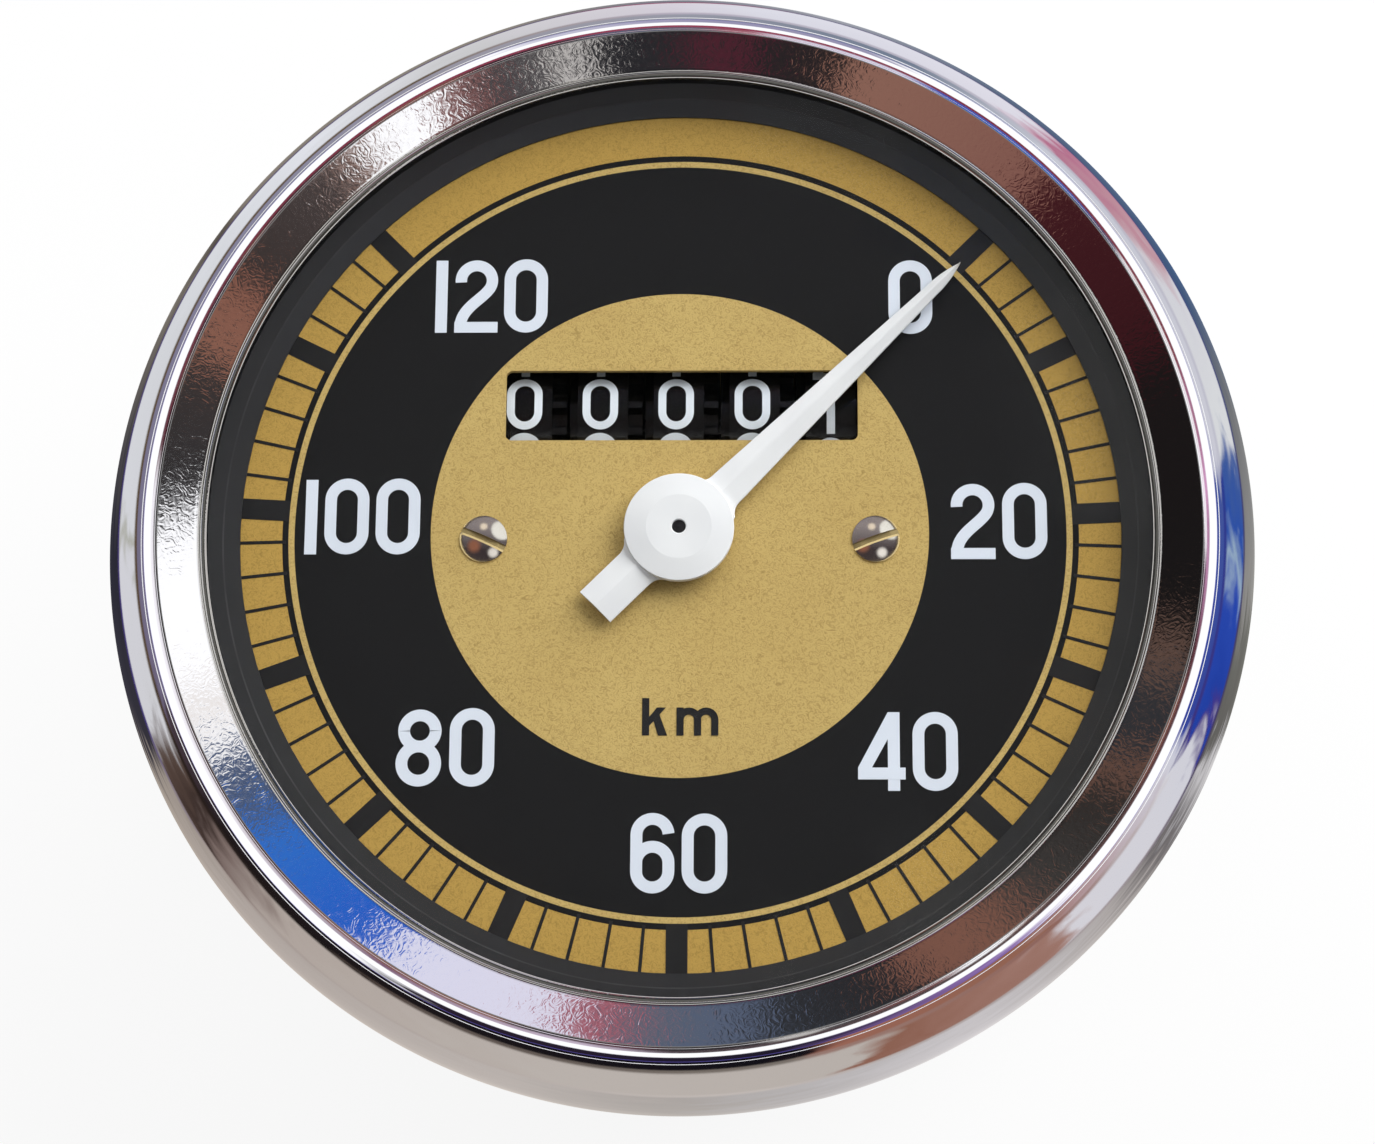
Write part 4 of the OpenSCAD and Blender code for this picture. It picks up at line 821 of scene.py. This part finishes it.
# %% Pointer
pointer_low, pointer_high = low("pointer")[2] + 0.1, high("pointer")[2]
cap_low, cap_high = low("pointer_cap")[2], high("pointer_cap")[2]
reach, tail_reach, cap_r = 30.4, 8.8, 4.2
tip, hub_edge, round_r = 3.0, 3.3, 1.3
white = Finish("white_plastic", (228, 228, 231), 0.34)
white.set("Specular IOR Level", 0.25)
white_skin = white.noise(0.9, 3)
white_cloud = white.spread(white.noise(4, 2), 0, 1)
white.set("Base Color", white.mix(white_cloud, linear((238, 238, 240)), linear((231, 231, 234))))
white.set("Roughness", white.spread(white_skin, 0.3, 0.38))
white.bump(white_skin, 0.004)


def fillet(x, half_width, r):
    """Half width beside the round hub, where an arc of radius r joins its circle to a straight
    side. The arc's centre lies r outside both: at w + r across, and sqrt((R + r)^2 - (w + r)^2) along."""
    across = half_width + r
    along = math.sqrt((cap_r + r) ** 2 - across ** 2)
    start = along * cap_r / (cap_r + r)
    curve = across - np.sqrt(np.clip(r * r - (np.clip(x, start, along) - along) ** 2, 0, None))
    return np.where(x < along, curve, half_width)


def blade_half_width(x):
    """Half the blade's width at x: arm narrowing to a curved point, or straight tail, with fillets."""
    taper = np.interp(x, [cap_r, reach - tip], [1.5, 0.52])
    taper = taper * (1 - np.clip((x - reach + tip) / tip, 0, 1) ** 2)
    return np.where(x > 0, np.where(x > 5.0, taper, fillet(x, 1.46, round_r)), fillet(-x, 1.65, round_r))


def blade():
    """Roof-shaped section (half width w, eaves e, ridge h) carried along X: points (x, -w..w, z)."""
    x = np.unique(np.concatenate([
        [-tail_reach], -tail_reach + arc((0.12, 0), 0.12, 180, 90, 4)[:, 0],
        np.linspace(-8.6, -5.5, 12), np.linspace(-5.5, -3.4, 24), [-hub_edge, hub_edge],
        np.linspace(3.4, 6.5, 34), np.linspace(6.5, 26.6, 30), np.linspace(26.6, reach, 16)]))
    w = blade_half_width(x)
    under_cap = np.abs(x) < hub_edge + 0.05
    ridge = np.where(under_cap, cap_low - 0.02, pointer_high)
    ridge = np.where(x > reach - tip, pointer_high - 0.16 * ((x - reach + tip) / tip) ** 2, ridge)
    eave = np.full_like(x, cap_low - 0.1)
    z_low = np.full_like(x, pointer_low)
    across = [(-0.96, z_low), (-1, z_low + 0.05), (-1, eave - 0.05), (-0.95, eave),
              (-0.12, ridge - 0.02), (0, ridge), (0.12, ridge - 0.02),
              (0.95, eave), (1, eave - 0.05), (1, z_low + 0.05), (0.96, z_low)]
    off_middle = np.interp(x, [-hub_edge, hub_edge], [0.15, -0.3])
    points = np.stack([np.stack([x, w * share + off_middle, z], 1) for share, z in across], 1)
    a = math.radians(45)
    turn = np.array([[math.cos(a), math.sin(a), 0], [-math.sin(a), math.cos(a), 0], [0, 0, 1]])
    n = len(across)
    faces = grid_faces(len(x), n, False, True)
    faces += [tuple(range(n)), tuple(range((len(x) - 1) * n, len(x) * n))]
    return points.reshape(-1, 3) @ turn, faces


arm = add_mesh("pointer_blade", *blade(), sharp=9)
dress(arm, "pointer_group", "white_plastic", white.material, "pointer")
cap_outline = np.concatenate([
    [[0.53, cap_low + 0.02], [3.2, cap_low + 0.02], [3.2, pointer_low - 0.1],
     [cap_r - 0.12, pointer_low - 0.1], [cap_r - 0.07, cap_low - 0.02]],
    arc((cap_r - 0.04, cap_low + 0.02), 0.04, -90, 0, 3),
    arc((cap_r - 0.08, cap_high - 0.28), 0.08, 0, 83, 18),
    [[2.5, cap_high], [0.62, cap_high]],
    arc((0.62, cap_high - 0.09), 0.09, 90, 180, 18)])
cap = lathe("pointer_cap_skin", cap_outline, 160, sharp=6)
dress(cap, "pointer_group", "white_plastic", white.material, "pointer_cap")

# %% [markdown]
# ## Dial screws
# Two oval-headed nickel screws hold the dial. A head is a height field on a round grid whose rows
# run along the slot: two rows share each slot edge, one on the dome and one on the slot's floor.

# %% Screw heads
head_r, dome_h, rim_h, slot_w, slot_floor = 1.82, 0.4, 0.14, 0.4, 0.25
dome_r = (head_r ** 2 + dome_h ** 2) / (2 * dome_h)
lip_w, lip_drop, least_depth = 0.17, 0.1, 0.12
screw_x, screw_y = 15.0, -0.6
left_slot, right_slot = -24, 20


def screw_head(x, slot_angle):
    """Part of a ball, rim + sqrt(D^2 - s^2 - t^2) - (D - dome), over the rows t and places s along a
    row. The row on the slot's lower edge is pressed down a little, which gives it its bright line."""
    share = np.sin(np.radians(np.linspace(-90, 90, 61)))
    t = head_r * share
    edge = slot_w / 2
    t = np.concatenate([t[t < -edge - lip_w - 0.03], [-edge - lip_w, -edge, -edge, edge, edge],
                        t[t > edge + 0.02]])
    first = int(np.sum(t < -edge - 0.001))
    s = np.sqrt(np.clip(head_r ** 2 - t ** 2, 0, None))[:, None] * share
    z = rim_h + np.sqrt(dome_r ** 2 - t[:, None] ** 2 - s ** 2) - (dome_r - dome_h)
    z[first + 1:first + 3] = np.minimum(slot_floor, z[first + 1:first + 3] - least_depth)
    z[first] -= lip_drop
    s = np.concatenate([s[:, :1], s, s[:, -1:]], 1)
    z = np.pad(z, ((0, 0), (1, 1)))
    t = np.broadcast_to(t[:, None], s.shape)
    a = math.radians(slot_angle)
    points = np.stack([x + s * math.cos(a) - t * math.sin(a),
                       screw_y + s * math.sin(a) + t * math.cos(a), z + dial_z], 2)
    return points.reshape(-1, 3), grid_faces(*s.shape, False, True)


nickel = worked_metal("nickel", (205, 200, 192), 0.1, 0.5, (1, 1, 1), 0.001, 0.1)
heads = [screw_head(-screw_x, left_slot), screw_head(screw_x, right_slot)]
screws = add_mesh("dial_screw_heads", *join(heads), sharp=20)
dress(screws, "root", "nickel_screw", nickel, "dial_screws")

# %% Brass in the slots
# The cut slot shows rough brass. Its faces are found by how far their middles lie from the slot's
# line and below the dome.
screws.data.materials.append(moulded("slot_brass", (166, 146, 100), 0.5))
middles = np.empty(3 * len(screws.data.polygons))
screws.data.polygons.foreach_get("center", middles)
x, y, z = middles.reshape(-1, 3).T / MM
angle = np.radians(np.where(x < 0, left_slot, right_slot))
across = (y - screw_y) * np.cos(angle) - (np.abs(x) - screw_x) * np.sign(x) * np.sin(angle)
in_slot = (np.abs(across) < slot_w / 2 + 0.001) & (z < dial_z + rim_h + dome_h - 0.02)
screws.data.polygons.foreach_set("material_index", in_slot.astype(int))

# %% [markdown]
# The domed heads are too small for the chart of the bezel, on which a ring is a part of its
# outline. They get a small tent of their own, which light linking shows to them alone: a grey
# room with a window at the upper right, a lamp above, and a brown and a bright patch below.

# %% Reflections in the screws
small_tent = lathe("small_tent", tent_outline * 0.9, 48, closed=False)
spots = Finish("small_room", (0, 0, 0), 1.0)
normal = spots.mirror_lean()


def lean_from(hour, lean_degrees):
    """Angle in degrees between the mirror that shows this point and one that leans to the hour."""
    a, b = math.radians(30 * hour), math.radians(lean_degrees)
    aim = (math.sin(a) * math.sin(b), math.cos(a) * math.sin(b), math.cos(b))
    return spots.maths("DEGREES", spots.maths("ARCCOSINE", spots.vectors("DOT_PRODUCT", normal, aim)))


seen = spots.mix(spots.spread(lean_from(0, 90), 0, 1, 76, 102), linear((156, 148, 154)),
                 linear((66, 58, 62)))
for hour, lean_degrees, size, soft, colour in [
        (7.8, 14, 6, 5, (156, 104, 84)), (2.05, 19, 10.5, 2, (255, 255, 255)),
        (11.7, 12, 3.6, 2.5, (255, 240, 224)), (5.05, 17.5, 4.8, 3, (250, 246, 246))]:
    in_spot = spots.spread(lean_from(hour, lean_degrees), 1, 0, size - soft / 2, size + soft / 2)
    seen = spots.mix(in_spot, seen, linear(colour))
for rim_start, rim_end, colour in [(22.6, 24.2, (74, 64, 62)), (25.2, 25.6, (255, 232, 176))]:
    seen = spots.mix(spots.spread(lean_from(0, 0), 0, 1, rim_start, rim_end), seen, linear(colour))
spots.tree.nodes.remove(spots.shader)
shine = spots.node("ShaderNodeEmission")
shine.inputs["Strength"].default_value = room_light
spots.put(seen, shine.inputs["Color"])
both = spots.node("ShaderNodeAddShader")
spots.put(shine.outputs[0], both.inputs[0])
spots.put(spots.node("ShaderNodeBsdfTransparent").outputs[0], both.inputs[1])
spots.put(both.outputs[0], spots.surface)
small_tent.data.materials.append(spots.material)
only_mirrors(small_tent)
for emitter, state in ((small_tent, "INCLUDE"), (tent, "EXCLUDE")):
    receivers = bpy.data.collections.new(emitter.name + "_receivers")
    receivers.objects.link(screws)
    receivers.collection_objects[0].light_linking.link_state = state
    emitter.light_linking.receiver_collection = receivers

# %% [markdown]
# ## Number wheels
# Each wheel of the counter carries the figures 0 to 9. The same strokes are used, drawn smaller
# and bent round the wheel: height above the figure's middle becomes an angle about the axle.

# %% Figures on the wheels
wheel_r = 7.1
dial_t, wheel_gap = 0.5, 0.6
axle_y, axle_z = 10.2, dial_z - dial_t - wheel_gap - wheel_r
small = 4.1 / figure_h
wheel_x = [-12.13, -6.24, -0.35, 5.57, 11.65]
bodies = ["wheel_1", "wheel_2", "wheel_3", "wheel_4", "units_group"]
shown = [0, 0, 0, 0, 1]
extra_turn = [-2.6, -2.6, -2.6, -2.6, 0.3]
wider = 1.17


def round_wheel(points, digit, first, extra):
    """Bends flat points round the axle: angle = 36 degrees * (first - digit) + extra - y / radius.
    The next figure stands above, because the wheels' fronts move down as the count grows."""
    angle = math.radians(36 * (first - digit) + extra) - points[:, 1] / wheel_r
    r = wheel_r + points[:, 2]
    return np.stack([points[:, 0], axle_y - r * np.sin(angle), axle_z + r * np.cos(angle)], 1)


wheel_ink = moulded("wheel_ink", (236, 243, 252), 0.45, 0.3, 0.002, tone=0.04)
for number, (x, body, first, extra) in enumerate(zip(wheel_x, bodies, shown, extra_turn), 1):
    blocks = []
    for digit in range(10):
        drawn = [loop(0, 3.4 * wider, 0, figure_h + 0.1)] if digit == 0 else figure(str(digit))
        stretch = 1 if digit < 2 else wider
        width = 0.92 if digit == 1 else 3.4 * wider
        for points, faces in layered(moved(drawn, 0, -2.05, small)):
            points = points * [stretch, 1, 1] + [x - width * small / 2, 0, 0]
            blocks.append((round_wheel(points, digit, first, extra), faces))
    piece = add_mesh(f"wheel_figures_{number}", *join(blocks))
    dress(piece, body, "wheel_black", wheel_ink)

# %% [markdown]
# ## Threads on the back
# The cable's nut and the nuts of the mounting bracket screw on to real threads. A thread is a rod
# whose radius falls and rises once a pitch, and shifts by one pitch for each turn round the rod.
# The nipple's collar is a hexagon, so its radius follows the six flats; a cone of 30 degrees takes
# its corners off, as on any nut.

# %% Threads
spin = np.linspace(0, 2 * np.pi, 96, endpoint=False)


def thread(z, crest, pitch, depth):
    """Radius crest - depth |2 frac(z / pitch + turn) - 1| over rows z and the angles of spin. It is
    cut to a cone at the free end and fades out at the root."""
    z = z[:, None]
    groove = np.abs(2 * ((z / pitch + spin / (2 * np.pi)) % 1) - 1)
    fading = np.clip((z[-1] - z) / pitch, 0, 1)
    return np.minimum(crest - depth * groove * fading, crest - depth + z - z[0])


def turned_rows(rows, x=0.0, closed=False):
    """A solid from rows of (radii over spin, heights), round the line at x parallel to Z."""
    r = np.stack([np.broadcast_to(radii, spin.shape) for radii, _ in rows])
    z = np.stack([np.broadcast_to(heights, spin.shape) for _, heights in rows])
    points = np.stack([x + r * np.cos(spin), r * np.sin(spin), z], 2)
    return points.reshape(-1, 3), grid_faces(*r.shape, closed, True)


# %% Nipple with its collar
nipple_low, nipple_high = low("cable_nipple")[2], high("cable_nipple")[2]
flange_r, flange_low, flange_high = 8.5, low("case")[2] - 2, low("case")[2]
bore_r, spigot_r, face_r, slope = 3.04, 5.4, 7.1, math.radians(30)
flats = flange_r * math.cos(slope) / np.cos(spin % math.radians(60) - slope)
z = np.arange(nipple_low, flange_low, 0.125)
rows = [(bore_r, nipple_low), (4.9, nipple_low), *zip(thread(z, 6.0, 1.0, 0.6), z)]
rows += [(face_r, flange_low), (flats, flange_low + (flats - face_r) * math.tan(slope)),
         (flats, flange_high), (spigot_r, flange_high), (spigot_r, nipple_high), (bore_r, nipple_high)]
nipple = add_mesh("nipple_thread", *turned_rows(rows, closed=True), sharp=25)

# %% Studs with their pads
stud_low, stud_x = low("mounting_studs")[2], 28.0
pad_low, pad_high = flange_high - 0.8, flange_high
z = np.arange(stud_low, pad_low, 0.1)
rows = [(0, stud_low), (1.5, stud_low), *zip(thread(z, 2.0, 0.7, 0.4), z), (2.0, pad_low - 0.05),
        (2.2, pad_low), (4.35, pad_low), (4.5, pad_low + 0.15), (4.5, pad_high), (0, pad_high)]
studs = add_mesh("stud_threads", *join([turned_rows(rows, x) for x in (-stud_x, stud_x)]), sharp=25)

# %% [markdown]
# ## Finishes of the other CAD pieces
# The remaining pieces keep their CAD shapes. Each group gets the finish that such a part has:
# bright nickel on the screws, yellow brass, turned steel, grey die casting, black enamel.

# %% Finishes by record slot
plate_grey = worked_metal("zinc_plate", (178, 180, 178), 0.3, 0.5, tone=0.18)
finishes = {
    "nickel_screw": nickel,
    "brass_parts": worked_metal("brass", (190, 152, 80), 0.3, 0.5),
    "turned_steel": worked_metal("turned_steel", (120, 121, 124), 0.28, 0.4, (1, 1, 4)),
    "spring_bronze": worked_metal("spring_bronze", (176, 128, 82), 0.3, 0.3),
    "cup_aluminium": worked_metal("cup_aluminium", (196, 198, 201), 0.32, 0.5),
    "magnet_iron": worked_metal("magnet_iron", (110, 108, 106), 0.42, 0.7, depth_mm=0.02),
    "fibre_washer": moulded("fibre", (120, 52, 36), 0.7, 0.3, 0.01),
    "die_cast": worked_metal("die_cast_zinc", (150, 152, 154), 0.45, 0.8, depth_mm=0.02),
    "gear_plastic": moulded("gear_plastic", (214, 205, 184), 0.42),
    "case_paint": moulded("black_enamel", (26, 26, 28), 0.28, 1.2, 0.012),
    "plated_steel": plate_grey,
    "wheel_black": moulded("wheel_black", (13, 13, 14), 0.22, 0.5, 0.002)}
slot_of = {row["node"]: row["material_slot"] for row in frame["record"]["subparts"]}
print(len(slot_of), "nodes have a slot")
done = {"dial", "dial_screws", "glass", "glass_gasket", "seal_ring", "spacer_ring", "bezel_ring",
        "pointer", "pointer_cap"}
for node_name, slot in slot_of.items():
    if node_name not in done and slot in finishes:
        finish_nodes(finishes[slot], node_name)
finish_nodes(pane.material, "lamp_bulb")
finish_nodes(worked_metal("dark_steel", (62, 62, 64), 0.4, 0.3), "pointer_spindle")
dress(nipple, "root", "plated_steel", plate_grey, "cable_nipple")
dress(studs, "root", "plated_steel", plate_grey, "mounting_studs")
